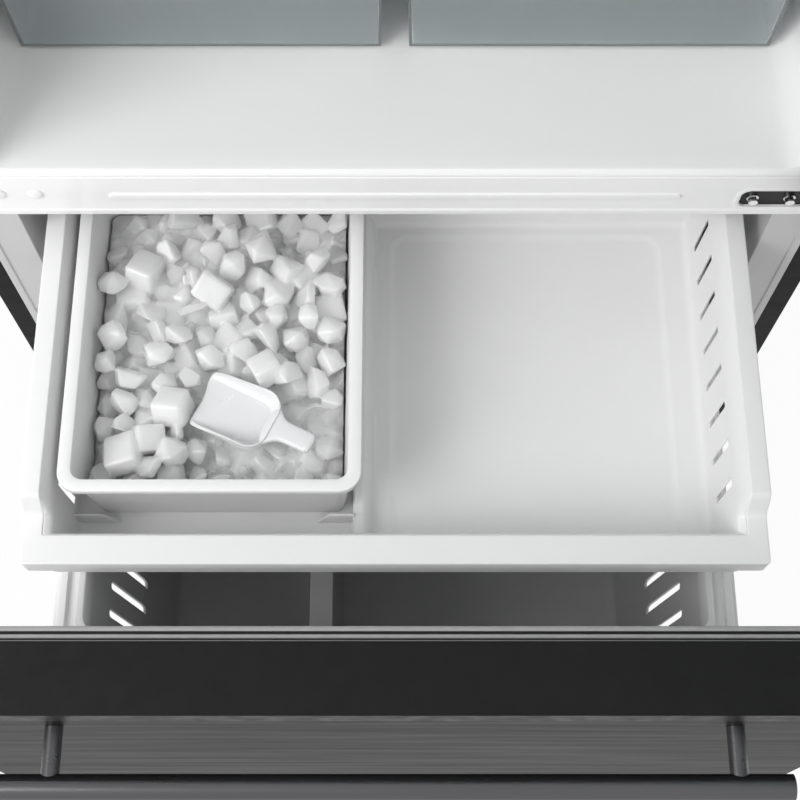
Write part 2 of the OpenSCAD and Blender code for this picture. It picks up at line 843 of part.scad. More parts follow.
module compressor_mounts() {
    color([0.1, 0.1, 0.1]) translate([comp_x, comp_y, pan_z]) mount_places() {
        cylinder(h = mount_h, r = 9);
        cylinder(h = mount_h + 5, r = 5);
    }
}

module condenser() {
    x0 = -half_w + 50;
    len = 190;
    y0 = machine_y + 24;
    rows = 5;
    pitch = 28;
    z0 = pan_z + 48;
    color(dark) {
        for (i = [0:9]) box([x0 + i * 20, y0 - 10, z0 - 14], [x0 + i * 20 + 1.2, y0 + 130, z0 + 126]);
        for (i = [0:rows - 1], y = [y0, y0 + 60, y0 + 120]) translate([x0 - 8, y, z0 + i * pitch])
            rotate([0, 90, 0]) cylinder(h = len + 16, r = tube_r);
        for (i = [0:rows - 1]) both_ends(x0 - 8, x0 + len + 8)
            box([-3, y0 - tube_r, z0 + i * pitch - tube_r], [3, y0 + 120 + tube_r, z0 + i * pitch + tube_r]);
        for (x = [x0 + 20, x0 + len - 10]) box([x - 2, y0 - 18, pan_z], [x + 2, y0 - 9, z0 + 126]);
    }
    color([0.72, 0.45, 0.2]) {
        translate([x0 + len + 5, y0 + 120, z0 + 4 * pitch]) rotate([0, 90, 0])
            cylinder(h = comp_x - comp_r - x0 - len - 4 - seat, r = tube_r - 1);
        translate([-30, y0 + 120, z0 + 4 * pitch]) rotate([0, 90, 0]) cylinder(h = 70, r = 9);
    }
}

module both_ends(a, b) {
    for (x = [a, b]) translate([x, 0, 0]) children();
}

module condenser_fan_motor() {
    color(dark) {
        difference() {
            translate([fan_x + 18, comp_y, fan_z]) rotate([0, 90, 0]) cylinder(h = 40, r = 26);
            translate([fan_x + 18 - over, comp_y, fan_z]) rotate([0, 90, 0])
                cylinder(h = 20, r = 4 + fit);
        }
        box([fan_x + 30, comp_y - 30, pan_z], [fan_x + 46, comp_y + 30, pan_z + 3]);
        box([fan_x + 34, comp_y - 10, pan_z], [fan_x + 42, comp_y + 10, fan_z - 20]);
    }
}

// Fan along its own Z axis, with its shaft going up
module fan_wheel(r, blades, shaft) {
    cylinder(h = 14, r = 0.3 * r);
    for (i = [0:blades - 1]) rotate([0, 0, i * 360 / blades]) translate([0.15 * r, 0, 7])
        rotate([28, 0, 0]) box([0, -0.22 * r, -1], [0.8 * r, 0.22 * r, 1]);
    cylinder(h = shaft, r = 4);
}

module condenser_fan() {
    color(grey) translate([fan_x, comp_y, fan_z]) rotate([0, 90, 0]) fan_wheel(fan_r, 5, 34);
}

module drip_tray() {
    lo = [-half_w + 30, machine_y + 30, pan_z];
    hi = [-half_w + 262, back_y - 24, pan_z + 30];
    t = [skin_t, skin_t, skin_t];
    color(dark) difference() {
        box(lo, hi);
        box(lo + t, hi + [-skin_t, -skin_t, over]);
    }
}

module rear_cover() {
    color([0.4, 0.4, 0.42]) difference() {
        box([-inner_half + seat, back_y - 3 * steel_t, base_z],
            [inner_half - seat, back_y - steel_t, machine_z]);
        for (i = [0:24], z = [0, 1]) along_y(back_y - 4 * steel_t, back_y)
            translate([-half_w + 60 + i * 24, pan_z + 60 + z * 90]) slot(7, 62);
        along_y(back_y - 4 * steel_t, back_y) translate([half_w - 60, pan_z + 50])
            square([30, 22], center = true);
    }
}

module power_inlet() {
    color(dark) translate([half_w - 60, 0, pan_z + 50]) difference() {
        union() {
            box([-15 + seat, back_y - 30, -11 + seat], [15 - seat, back_y - steel_t, 11 - seat]);
            box([-19, back_y - steel_t, -15], [19, back_y, 15]);
        }
        box([-12, back_y - 18, -8], [12, back_y + over, 8]);
    }
}

// Cooling
module evaporator() {
    color(steel) {
        for (i = [0:fin_n - 1]) translate([-coil_w / 2 + i * coil_w / (fin_n - 1), 0, 0])
            box([-0.6, liner_back - 46, coil_z], [0.6, liner_back - seat, coil_z + coil_h]);
        for (i = [0:3], y = [liner_back - 36, liner_back - 12])
            translate([-coil_w / 2 - 10, y, coil_z + (i + 0.5) * coil_h / 4]) rotate([0, 90, 0])
                cylinder(h = coil_w + 20, r = tube_r);
        for (i = [0:3]) both_ends(-coil_w / 2 - 10, coil_w / 2 + 10)
            box([-3, liner_back - 36 - tube_r, coil_z + (i + 0.5) * coil_h / 4 - tube_r],
                [3, liner_back - 12 + tube_r, coil_z + (i + 0.5) * coil_h / 4 + tube_r]);
        both_ends(-coil_w / 2 + 30, coil_w / 2 - 30)
            box([-3, liner_back - 30, coil_z - 34], [3, liner_back - seat, coil_z + coil_h / 8]);
        translate([-coil_w / 2, liner_back - 24, coil_z - 26]) rotate([0, 90, 0])
            cylinder(h = coil_w, r = 5);
    }
}

module evaporator_cover() {
    color(white) difference() {
        union() {
            box([-fz_half + 6, coil_y, hump_z + seat], [fz_half - 6, coil_y + skin_t, fz_top - 3]);
            both() box([fz_half - 6 - skin_t, coil_y, hump_z + seat],
                [fz_half - 6, liner_back - seat, fz_top - 3]);
        }
        translate([0, coil_y - over, cold_fan_z]) rotate([-90, 0, 0]) cylinder(h = 6, r = cold_fan_r - 6);
        for (i = [-3:3], s = [-1, 1]) along_y(coil_y - over, coil_y + 2 * skin_t)
            translate([s * 190 + i * 22, cold_fan_z]) slot(8, 56);
    }
}

module evaporator_fan_motor() {
    color(dark) difference() {
        union() {
            translate([0, liner_back - 20, cold_fan_z]) rotate([-90, 0, 0]) cylinder(h = 20 - seat, r = 22);
            box([-40, liner_back - 5, cold_fan_z - 8], [40, liner_back - seat, cold_fan_z + 8]);
        }
        translate([0, liner_back - 21, cold_fan_z]) rotate([-90, 0, 0]) cylinder(h = 17, r = 4 + fit);
    }
}

module evaporator_fan() {
    color(grey) translate([0, liner_back - 38, cold_fan_z]) rotate([-90, 0, 0])
        fan_wheel(cold_fan_r, 5, 32);
}

module air_duct() {
    z0 = fr_floor + cover_z + 40;
    z1 = fr_top - 90;
    color(white) difference() {
        box([-duct_half, liner_back - 12, z0], [duct_half, liner_back - seat, z1]);
        box([-duct_half + skin_t, liner_back - 12 + skin_t, z0 + skin_t],
            [duct_half - skin_t, liner_back + over, z1 - skin_t]);
        for (z = [z0 + 60:110:z1 - 40], s = [-1, 1]) along_y(liner_back - 13, liner_back - 12 + 2 * skin_t)
            translate([s * duct_half / 2, z]) rotate(90) slot(8, duct_half - 30);
    }
}

module fridge_lamp() {
    color([0.95, 0.95, 0.9]) translate([0, front_y + 235, fr_top - 9])
        linear_extrude(9 - seat) round_rect(150, 70, 12);
}

module control_panel() {
    z0 = fr_top - 26;
    color(white) translate([0, front_y + 130, 0]) difference() {
        translate([0, 0, z0]) linear_extrude(26 - seat) round_rect(260, 80, 10);
        translate([0, 0, z0 - over]) cylinder(h = 20, r = 5 + fit);
        translate([0, 0, z0 - over]) cylinder(h = 5, r = knob_r + 1);
    }
}

module temperature_knob() {
    z0 = fr_top - 26;
    color(grey) translate([0, front_y + 130, 0]) {
        difference() {
            translate([0, 0, z0 - 12]) cylinder(h = 14, r = knob_r);
            for (i = [0:11]) rotate([0, 0, i * 30]) translate([knob_r + 0.6, 0, z0 - 13])
                cylinder(h = 11, r = 1.8, $fn = 16);
        }
        translate([0, 0, z0]) cylinder(h = 16, r = 5);
        translate([knob_r - 5, 0, z0 - 13]) cube([6, 2, 2], center = true);
    }
}

// Shelves and crispers
module shelf_frames() {
    color(white) {
        for (z = shelf_zs) {
            difference() {
                box([-shelf_half, shelf_y0, z], [shelf_half, shelf_y1, z + shelf_h]);
                box([-shelf_half + frame_w, shelf_y0 + frame_w, z - over],
                    [shelf_half - frame_w, shelf_y1 - frame_w, z + shelf_h + over]);
                box([-shelf_half + frame_w / 2, shelf_y0 + frame_w / 2, z + shelf_h - glass_t - seat],
                    [shelf_half - frame_w / 2, shelf_y1 - frame_w / 2, z + shelf_h + over]);
            }
            both() box([track_x - 4, shelf_y1 - over, z], [track_x + 4, liner_back - track_h, z + shelf_h]);
        }
        both() {
            box([shelf_half - hang_t, shelf_y0, hang_z - rim_h],
                [shelf_half, shelf_y1, shelf_zs[0] + over]);
            box([shelf_half - crisper_rim, shelf_y0, hang_z - rim_h],
                [shelf_half, shelf_y1, hang_z]);
            box([0, shelf_y0 + frame_w, hang_z - rim_h], [hang_t / 2, shelf_y1, shelf_zs[0]]);
            box([0, shelf_y0 + frame_w, hang_z - rim_h], [crisper_rim - hang_t / 2, shelf_y1, hang_z]);
        }
        box([-crisper_rim, shelf_y0 + frame_w - over, shelf_zs[0] - 2],
            [crisper_rim, shelf_y1 - frame_w + over, shelf_zs[0] + 4]);
    }
}

module glass_shelves() {
    inset = frame_w / 2 + seat;
    color([0.75, 0.88, 0.86]) for (z = shelf_zs)
        box([-shelf_half + inset, shelf_y0 + inset, z + shelf_h - glass_t],
            [shelf_half - inset, shelf_y1 - inset, z + shelf_h]);
}

module shelf_tracks() {
    z0 = shelf_zs[0] - track_up / 2;
    z1 = shelf_zs[shelf_n] + track_up;
    y0 = liner_back - track_h;
    color(white) both() difference() {
        box([track_x - 9, y0, z0], [track_x + 9, liner_back - seat, z1]);
        box([track_x - 7, y0 + 2, z0 - over], [track_x + 7, liner_back, z1 + over]);
    }
}

module crisper() {
    x0 = hang_t / 2 + seat;
    x1 = shelf_half - hang_t - seat;
    bx0 = x0 + crisper_rim - hang_t / 2 + seat;
    bx1 = x1 - crisper_rim + hang_t - seat;
    z0 = hang_z + seat;
    z1 = z0 + rim_h;
    y0 = shelf_y0;
    y1 = y0 + crisper_d;
    color([0.88, 0.92, 0.93]) difference() {
        union() {
            box([x0, y0 + frame_w + 2, z0], [x1, y1, z1]);
            hull() {
                box([bx0, y0, z0], [bx1, y1 - 4, z1]);
                box([bx0 + 4, y0 + 4, crisper_z0], [bx1 - 4, y1 - 10, crisper_z0 + 1]);
            }
            box([bx0 + 30, y0 - 14, z0 - 26], [bx1 - 30, y0 + 2, z0 - 8]);
        }
        hull() {
            box([bx0 + skin_t, y0 + skin_t, z0], [bx1 - skin_t, y1 - 4 - skin_t, z1 + over]);
            box([bx0 + 4 + skin_t, y0 + 4 + skin_t, crisper_z0 + skin_t],
                [bx1 - 4 - skin_t, y1 - 10 - skin_t, crisper_z0 + 2 * skin_t]);
        }
        box([bx0 + 30 + skin_t, y0 - 14 + skin_t, z0 - 27], [bx1 - 30 - skin_t, y0 - seat, z0 - 8 - skin_t]);
    }
}

module crisper_left() {
    mirror([1, 0, 0]) crisper();
}

module crisper_right() {
    crisper();
}

// Slides and brackets
module slide_outer_members() {
    color(steel) both() difference() {
        box([fz_half - slide_w, slide_y, slide_z - slide_h / 2],
            [fz_half, slide_y + slide_l, slide_z + slide_h / 2]);
        box([fz_half - slide_w - over, slide_y - over, slide_z - slide_h / 2 + slide_t],
            [fz_half - slide_t, slide_y + slide_l + over, slide_z + slide_h / 2 - slide_t]);
    }
}

module slide_middle_members() {
    x1 = fz_half - slide_t - 3 * slide_fit;
    color(steel) translate([0, -freezer_open / 2, 0]) both() difference() {
        box([x1 - slide_w + slide_fit, slide_y, slide_z - slide_in_h / 2],
            [x1, slide_y + slide_l, slide_z + slide_in_h / 2]);
        box([x1 - slide_w, slide_y - over, slide_z - slide_in_h / 2 + slide_t],
            [x1 - slide_t, slide_y + slide_l + over, slide_z + slide_in_h / 2 - slide_t]);
    }
}

module slide_inner_members() {
    color(steel) pulled_out() both() box([arm_x + bracket_t, slide_y, slide_z - slide_core_h / 2],
        [fz_half - slide_in, slide_y + slide_l, slide_z + slide_core_h / 2]);
}

module drawer_brackets() {
    y1 = slide_y + slide_l;
    outer_x = arm_x + bracket_t;
    plate_x = outer_x - door_plate_w;
    color(white) pulled_out() both() {
        box([arm_x, door_y, ledge_z - arm_h], [outer_x, y1, ledge_z]);
        box([outer_x - bracket_t - ledge_w, basket_y, ledge_z - bracket_t], [outer_x, y1, ledge_z]);
        box([plate_x, door_y, ledge_z - door_plate_h], [outer_x, door_y + bracket_t, ledge_z]);
    }
}

// Freezer drawers
module tapered(half0, y0, y1, z0, half1, y2, y3, z1, mid = 0) {
    hull() {
        box([mid - half0, y0, z0], [mid + half0, y1, z0 + 0.5]);
        box([mid - half1, y2, z1 - 0.5], [mid + half1, y3, z1]);
    }
}

module basket_body(g) {
    step_z = basket_low + basket_step;
    mid_half = side_half - basket_draft - g;
    low_half = mid_half - basket_low_draft;
    y0 = basket_y + 8 + g;
    y1 = basket_y + basket_d - 12 - g;
    y2 = basket_y + basket_low_d + 6 - g;
    tapered(mid_half, y0 + 3, y1 - 4, step_z + g, side_half - g, y0, y1, ledge_z + 2);
    tapered(low_half, y0 + 9, y2 - 6, basket_low + g, mid_half, y0 + 3, y2, step_z + g + 0.5);
}

module basket_slots() {
    top = basket_top - basket_slot_drop;
    short_h = top - basket_low - basket_step - 6;
    n = floor((basket_d - 80) / basket_slot_pitch);
    for (i = [0:n - 1]) {
        y = basket_slot_y + i * basket_slot_pitch;
        h = y < basket_low_d - basket_slot_y ? basket_slot_h : short_h;
        along_x(-half_w, half_w) translate([basket_y + y, top - h / 2]) slot(basket_slot_w, h);
    }
}

module lower_basket() {
    color(white) pulled_out() difference() {
        union() {
            box([-basket_half, basket_y, basket_top - basket_rim_h],
                [basket_half, basket_y + basket_d, basket_top]);
            basket_body(0);
        }
        basket_body(basket_wall);
        tapered(side_half - basket_wall, basket_y + 12, basket_y + basket_d - 16, ledge_z,
            basket_half - basket_rim_w, basket_y + 16, basket_y + basket_d - 16, basket_top + over);
        both() box([track_mid - track_w / 2, basket_y + 12, basket_top - track_d],
            [track_mid + track_w / 2, basket_y + basket_d + over, basket_top + over]);
        basket_slots();
    }
}

module basket_divider() {
    z0 = basket_low + basket_wall + seat;
    y0 = basket_y + 28;
    y1 = basket_y + basket_low_d - 12;
    color(white) pulled_out() translate([-divider_x, 0, 0]) difference() {
        box([-divider_w / 2, y0, z0], [divider_w / 2, y1, z0 + divider_h]);
        box([-divider_w / 2 + skin_t, y0 - over, z0 - over],
            [divider_w / 2 - skin_t, y1 + over, z0 + divider_h - skin_t]);
    }
}

function ease(t) = t * t * (3 - 2 * t);
// Height of the drawer's rim at a distance from its front
function rim_z(d) = drawer_top - dip_h * (1 - ease(min(1, max(0, (d - dip_y) / dip_l))));
dip_steps = 10;

module rim_band(h0, h1, inset) {
    ds = concat([inset], [for (i = [0:dip_steps]) dip_y + i * dip_l / dip_steps], [drawer_d - inset]);
    polygon(concat([for (d = ds) [drawer_y + d, rim_z(d) - h0]],
        [for (i = [len(ds) - 1:-1:0]) [drawer_y + ds[i], rim_z(ds[i]) - h1]]));
}

module drawer_vents() {
    n = floor((drawer_d - vent_y - drawer_rim_w - 20) / vent_pitch) + 1;
    for (i = [0:n - 1]) along_x(-half_w, half_w)
        translate([drawer_y + vent_y + i * vent_pitch, drawer_top - vent_drop - vent_h / 2])
            slot(vent_w, vent_h);
}

module upper_drawer() {
    y0 = drawer_y + drawer_lip;
    y1 = drawer_back - drawer_rim_w;
    y2 = y0 + drawer_shoulder / 2;
    y3 = y1 - drawer_shoulder;
    z0 = drawer_top - drawer_h;
    z2 = drawer_top - shoulder_h;
    t = drawer_t;
    color(white) pulled_out() difference() {
        union() {
            difference() {
                along_x(-drawer_half, drawer_half) rim_band(0, drawer_skirt, 0);
                along_x(-drawer_half + t, drawer_half - t) rim_band(t, drawer_skirt + over, t);
            }
            intersection() {
                union() {
                    tapered(wall_in + t, y2 + drawer_draft - t, y3 - drawer_draft + t, z0,
                        shoulder_in + t, y2 - t, y3 + t, z2 + 0.5);
                    tapered(shoulder_in + t, y2 - t, y3 + t, z2,
                        drawer_in + t, y0 - t, y1 + t, drawer_top);
                }
                along_x(-half_w, half_w) rim_band(t / 2, drawer_h, over);
            }
            both() box([track_mid - runner_half, drawer_y + 2 * drawer_lip,
                basket_top - track_d + runner_fit], [track_mid + runner_half, drawer_back - 40, z0 + 12]);
        }
        difference() {
            union() {
                tapered(wall_in, y2 + drawer_draft, y3 - drawer_draft, drawer_floor,
                    shoulder_in, y2, y3, z2 + 0.5);
                tapered(shoulder_in, y2, y3, z2, drawer_in, y0, y1, drawer_top + over);
            }
            along_y(y0, drawer_back) polygon([[-rib_x - rib_w, z0],
                [-rib_x - rib_w, drawer_floor + rib_h - 3],
                [-rib_x - rib_w + 3, drawer_floor + rib_h], [-rib_x - 7, drawer_floor + rib_h],
                [-rib_x, drawer_floor + rib_h / 2], [-rib_x, z0]]);
            along_y(ice_front + 4, ice_front + 6) {
                polygon([[-shoulder_in, z0], [-shoulder_in, drawer_floor + stop_h],
                    [ice_mid - 103, drawer_floor + stop_h], [ice_mid - 89, drawer_floor],
                    [ice_mid - 89, z0]]);
                polygon([[-rib_x - rib_w + 1, z0], [-rib_x - rib_w + 1, drawer_floor + stop_h],
                    [ice_mid + 96, drawer_floor + stop_h], [ice_mid + 84, drawer_floor],
                    [ice_mid + 84, z0]]);
            }
        }
        box([-rib_x + 16, y0 + 30, drawer_floor - panel_d],
            [wall_in - panel_in, y1 - 14, drawer_floor + over]);
        drawer_vents();
    }
}

// Ice bin, ice and scoop
module bin_shape(g, lift) {
    w = ice_w - 2 * ice_rim;
    d = ice_d - 2 * ice_rim;
    hull() {
        translate([ice_mid, ice_front + ice_d / 2, ice_z + lift]) linear_extrude(0.5)
            round_rect(w - 2 * ice_draft - 2 * g, d - ice_draft - 2 * g, ice_r - ice_rim - g / 2);
        translate([ice_mid, ice_front + ice_d / 2, ice_z + ice_h - 0.5 + lift]) linear_extrude(0.5)
            round_rect(w - 2 * g, d - 2 * g, ice_r - ice_rim - g / 2);
    }
}

module ice_bin() {
    color(white) pulled_out() difference() {
        union() {
            bin_shape(0, 0);
            translate([ice_mid, ice_front + ice_d / 2, ice_z + ice_h - 8]) difference() {
                linear_extrude(8) round_rect(ice_w, ice_d, ice_r);
                translate([0, 0, -over]) linear_extrude(8 + over - ice_t)
                    round_rect(ice_w - 2 * ice_t, ice_d - 2 * ice_t, ice_r - ice_t);
            }
        }
        bin_shape(ice_t, ice_t);
    }
}

module scoop_place() {
    translate(scoop_mid) rotate([0, 0, scoop_turn]) children();
}

module ice_cubes() {
    w = ice_w - 2 * ice_rim - 2 * ice_draft - 2 * ice_t - cube_s * 1.6;
    d = ice_d - 2 * ice_rim - 2 * ice_draft - 2 * ice_t - cube_s * 1.6;
    inset = ice_t + 2 * seat;
    draft = ice_draft * (1 - bed_h / ice_h);
    color([0.9, 0.94, 0.96]) pulled_out() difference() {
        union() {
            tapered(ice_w / 2 - ice_rim - ice_draft - inset - 4, ice_front + ice_rim + ice_draft + inset + 4,
                ice_front + ice_d - ice_rim - ice_draft - inset - 4, bed_z,
                ice_w / 2 - ice_rim - draft - inset - 3, ice_front + ice_rim + draft + inset + 3,
                ice_front + ice_d - ice_rim - draft - inset - 3, bed_z + bed_h, ice_mid);
            for (i = [0:cube_nx - 1], j = [0:cube_ny - 1])
                translate([ice_mid + (i / (cube_nx - 1) - 0.5) * w,
                    ice_front + ice_d / 2 + (j / (cube_ny - 1) - 0.5) * d, bed_z + bed_h - 2])
                    rotate([30 * sin(97 * i + 41 * j), 28 * cos(59 * i + 83 * j), 90 * sin(37 * i + 71 * j)])
                        cube(cube_s, center = true);
        }
        scoop_place() {
            box([-scoop_l / 2 - 4, -scoop_w / 2 - 4, -seat], [scoop_l / 2 + 4, scoop_w / 2 + 4, 60]);
            box([0, -grip_w / 2 - 3, 2], [scoop_l / 2 + grip_l + 4, grip_w / 2 + 3, 60]);
        }
    }
}

module ice_scoop() {
    color([0.9, 0.9, 0.9]) pulled_out() scoop_place() {
        difference() {
            along_x(-scoop_l / 2, scoop_l / 2) translate([0, scoop_h / 2]) round_rect(scoop_w, scoop_h, 7);
            along_x(-scoop_l / 2 - over, scoop_l / 2 - scoop_t) translate([0, scoop_h / 2 + scoop_t])
                round_rect(scoop_w - 2 * scoop_t, scoop_h + scoop_t, 6);
            box([-scoop_l, -scoop_w, scoop_h - 5], [scoop_l, scoop_w, scoop_h + over]);
        }
        translate([scoop_l / 2 - scoop_t, 0, scoop_h - 13]) difference() {
            linear_extrude(8) translate([grip_l / 2, 0]) round_rect(grip_l, grip_w, 5);
            translate([0, 0, -over]) linear_extrude(8)
                translate([grip_l / 2, 0]) round_rect(grip_l - 2 * scoop_t, grip_w - 2 * scoop_t, 3);
        }
    }
}

// Doors
module door_plan(g) {
    r = door_r - g;
    translate([-door_half + g, door_front + door_r]) square([2 * door_half - 2 * g, door_t - door_r]);
    translate([-door_half + door_r, door_front + g]) square([2 * door_half - 2 * door_r, door_t / 2]);
    for (s = [-1, 1]) translate([s * (door_half - door_r), door_front + door_r]) circle(r);
}

module door_skin(z0, z1) {
    color(dark) translate([0, 0, z0 + cap_h]) linear_extrude(z1 - z0 - 2 * cap_h) difference() {
        door_plan(0);
        door_plan(steel_t);
        translate([-door_half + steel_t, door_y - door_t / 2]) square([2 * (door_half - steel_t), door_t]);
    }
}

module door_cap(z) {
    translate([0, 0, z]) linear_extrude(cap_h) door_plan(0);
}

module door_foam(z0, z1, half, dz0, dz1, w, d) {
    color([0.9, 0.85, 0.6]) {
        translate([0, 0, z0 + cap_h]) linear_extrude(z1 - z0 - 2 * cap_h) intersection() {
            door_plan(steel_t);
            translate([-door_half, door_front]) square([2 * door_half, door_t - liner_t]);
        }
        ring(half - liner_t, dz0 + liner_t, dz1 - liner_t, w - 2 * liner_t,
            door_y - liner_t - over, door_y + d - liner_t);
    }
}

module door_liner(z0, z1, half, dz0, dz1, w, d) {
    color(pale) difference() {
        union() {
            box([-door_half + steel_t, door_y - liner_t, z0 + cap_h],
                [door_half - steel_t, door_y, z1 - cap_h]);
            ring(half, dz0, dz1, w, door_y - liner_t, door_y + d);
        }
        ring(half - liner_t, dz0 + liner_t, dz1 - liner_t, w - 2 * liner_t,
            door_y - liner_t - over, door_y + d - liner_t);
    }
}

module door_gasket(z0, z1) {
    step = 4;
    color(grey) {
        ring(gasket_half, z0, z1, gasket_w, door_y, door_y + step);
        difference() {
            box([-gasket_half + 2, door_y + step - over, z0 + 2], [gasket_half - 2, seal_y, z1 - 2]);
            box([-gasket_half + gasket_w - 2, door_y, z0 + gasket_w - 2],
                [gasket_half - gasket_w + 2, front_y, z1 - gasket_w + 2]);
        }
    }
}

module freezer_door_skin() {
    pulled_out() door_skin(freezer_door_z, freezer_door_z1);
}

module freezer_door_caps() {
    color(dark) pulled_out() for (z = [freezer_door_z, freezer_door_z1 - cap_h]) door_cap(z);
}

module freezer_door_foam() {
    pulled_out() door_foam(freezer_door_z, freezer_door_z1, freezer_dyke_half, freezer_dyke_z0,
        freezer_dyke_z1, dyke_w / 2, freezer_dyke_d);
}

module freezer_door_liner() {
    pulled_out() door_liner(freezer_door_z, freezer_door_z1, freezer_dyke_half, freezer_dyke_z0,
        freezer_dyke_z1, dyke_w / 2, freezer_dyke_d);
}

module freezer_door_gasket() {
    pulled_out() door_gasket(freezer_door_z + gasket_w, freezer_door_z1 - gasket_top);
}

module freezer_handle() {
    color(steel) pulled_out() translate([0, handle_y, freezer_handle_z]) {
        translate([-freezer_handle_l / 2, 0, 0]) rotate([0, 90, 0])
            cylinder(h = freezer_handle_l, r = handle_r);
        for (s = [-1, 1]) translate([s * (freezer_handle_l / 2 - post_in), 0, 0]) rotate([-90, 0, 0])
            cylinder(h = handle_out, r = post_r);
    }
}

module fridge_door_skin() {
    swung_open() door_skin(fridge_door_z0, fridge_door_z1);
}

module fridge_door_caps() {
    color(dark) swung_open() difference() {
        for (z = [fridge_door_z0, fridge_door_z1 - cap_h]) door_cap(z);
        translate([hinge[0], hinge[1], fridge_door_z0 - over]) cylinder(h = 20 + over, r = pin_r + fit);
        translate([hinge[0], hinge[1], fridge_door_z1 - 20]) cylinder(h = 20 + over, r = pin_r + fit);
    }
}

module fridge_door_foam() {
    swung_open() door_foam(fridge_door_z0, fridge_door_z1, dyke_half, dyke_z0, dyke_z1, dyke_w, dyke_d);
}

module fridge_door_liner() {
    swung_open() door_liner(fridge_door_z0, fridge_door_z1, dyke_half, dyke_z0, dyke_z1, dyke_w, dyke_d);
}

module fridge_door_gasket() {
    swung_open() door_gasket(fridge_door_z0 + gasket_low, fridge_door_z1 - gasket_w);
}

module fridge_handle() {
    color(steel) swung_open() translate([fridge_handle_x, handle_y, fridge_handle_z]) {
        translate([0, 0, -fridge_handle_l / 2]) cylinder(h = fridge_handle_l, r = handle_r);
        for (s = [-1, 1]) translate([0, 0, s * (fridge_handle_l / 2 - post_in)]) rotate([-90, 0, 0])
            cylinder(h = handle_out, r = post_r);
    }
}

module door_bins() {
    w = 2 * (dyke_half - dyke_w - seat);
    y0 = door_y + seat;
    color([0.9, 0.93, 0.94]) swung_open() for (i = [0:bin_n - 1])
        translate([0, y0 + bin_d / 2, bin_z0 + i * bin_pitch]) difference() {
            linear_extrude(bin_h) round_rect(w, bin_d, bin_r);
            translate([0, 0, skin_t]) linear_extrude(bin_h)
                round_rect(w - 2 * skin_t, bin_d - 2 * skin_t, bin_r - skin_t);
        }
}

outer_shell();
back_panel();
base_pan();
cabinet_foam();
fridge_liner();
freezer_liner();
mullion_rail();
mullion_plugs();
middle_hinge();
top_hinge();
hinge_bolts();
top_hinge_cover();
toe_grille();
compressor();
compressor_mounts();
condenser();
condenser_fan_motor();
condenser_fan();
drip_tray();
rear_cover();
power_inlet();
evaporator();
evaporator_cover();
evaporator_fan_motor();
evaporator_fan();
air_duct();
fridge_lamp();
control_panel();
temperature_knob();
glass_shelves();
shelf_frames();
shelf_tracks();
crisper_left();
crisper_right();
leg_left();
leg_right();
rear_rollers();
slide_outer_members();
slide_middle_members();
slide_inner_members();
drawer_brackets();
freezer_door_skin();
freezer_door_caps();
freezer_door_foam();
freezer_door_liner();
freezer_door_gasket();
freezer_handle();
lower_basket();
basket_divider();
upper_drawer();
ice_bin();
ice_cubes();
ice_scoop();
fridge_door_skin();
fridge_door_caps();
fridge_door_foam();
fridge_door_liner();
fridge_door_gasket();
fridge_handle();
door_bins();
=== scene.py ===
import bpy
import bmesh
import json
import math
import random
import numpy as np
from mathutils import Euler, Matrix, Vector


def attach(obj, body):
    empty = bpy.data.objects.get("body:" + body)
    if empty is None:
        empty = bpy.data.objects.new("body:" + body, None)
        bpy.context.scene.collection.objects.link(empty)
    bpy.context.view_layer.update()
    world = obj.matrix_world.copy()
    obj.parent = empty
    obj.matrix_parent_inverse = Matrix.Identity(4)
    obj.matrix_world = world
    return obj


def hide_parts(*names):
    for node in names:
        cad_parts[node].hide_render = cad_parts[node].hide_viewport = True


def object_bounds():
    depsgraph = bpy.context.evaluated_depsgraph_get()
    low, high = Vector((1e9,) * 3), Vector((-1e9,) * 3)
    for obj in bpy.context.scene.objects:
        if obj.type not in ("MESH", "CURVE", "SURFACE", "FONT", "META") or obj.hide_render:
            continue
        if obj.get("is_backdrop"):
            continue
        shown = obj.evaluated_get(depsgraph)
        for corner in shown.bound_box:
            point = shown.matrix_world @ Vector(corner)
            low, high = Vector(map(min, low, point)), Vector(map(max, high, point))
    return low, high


# Dresses the refrigerator's CAD pieces. Shapes are drawn in millimetres, x to the right, y to the
# back and z up, and become metres when their mesh is made.
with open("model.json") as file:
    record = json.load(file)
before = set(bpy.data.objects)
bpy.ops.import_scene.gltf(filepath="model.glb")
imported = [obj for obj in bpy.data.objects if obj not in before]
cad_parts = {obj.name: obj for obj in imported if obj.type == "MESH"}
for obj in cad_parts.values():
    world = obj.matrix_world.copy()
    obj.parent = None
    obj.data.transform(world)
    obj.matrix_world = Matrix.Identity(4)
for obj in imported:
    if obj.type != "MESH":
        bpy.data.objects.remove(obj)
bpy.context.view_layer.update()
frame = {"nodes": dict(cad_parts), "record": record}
nodes = frame["nodes"]
scene = bpy.context.scene
MM = 0.001
SHARP = math.radians(34)    # a larger angle between two faces shows as an edge


# ---------------------------------------------------------------- materials
def link(nt, a, b):
    nt.links.new(a, b)


def set_inputs(node, values):
    for key, value in values.items():
        node.inputs[key].default_value = value


NOISE_RANGE = (0.3, 0.7)    # most values of a noise texture lie between these
GRAIN_HEIGHT = 0.0004       # metres
SMOOTHEST = 0.02            # the least roughness


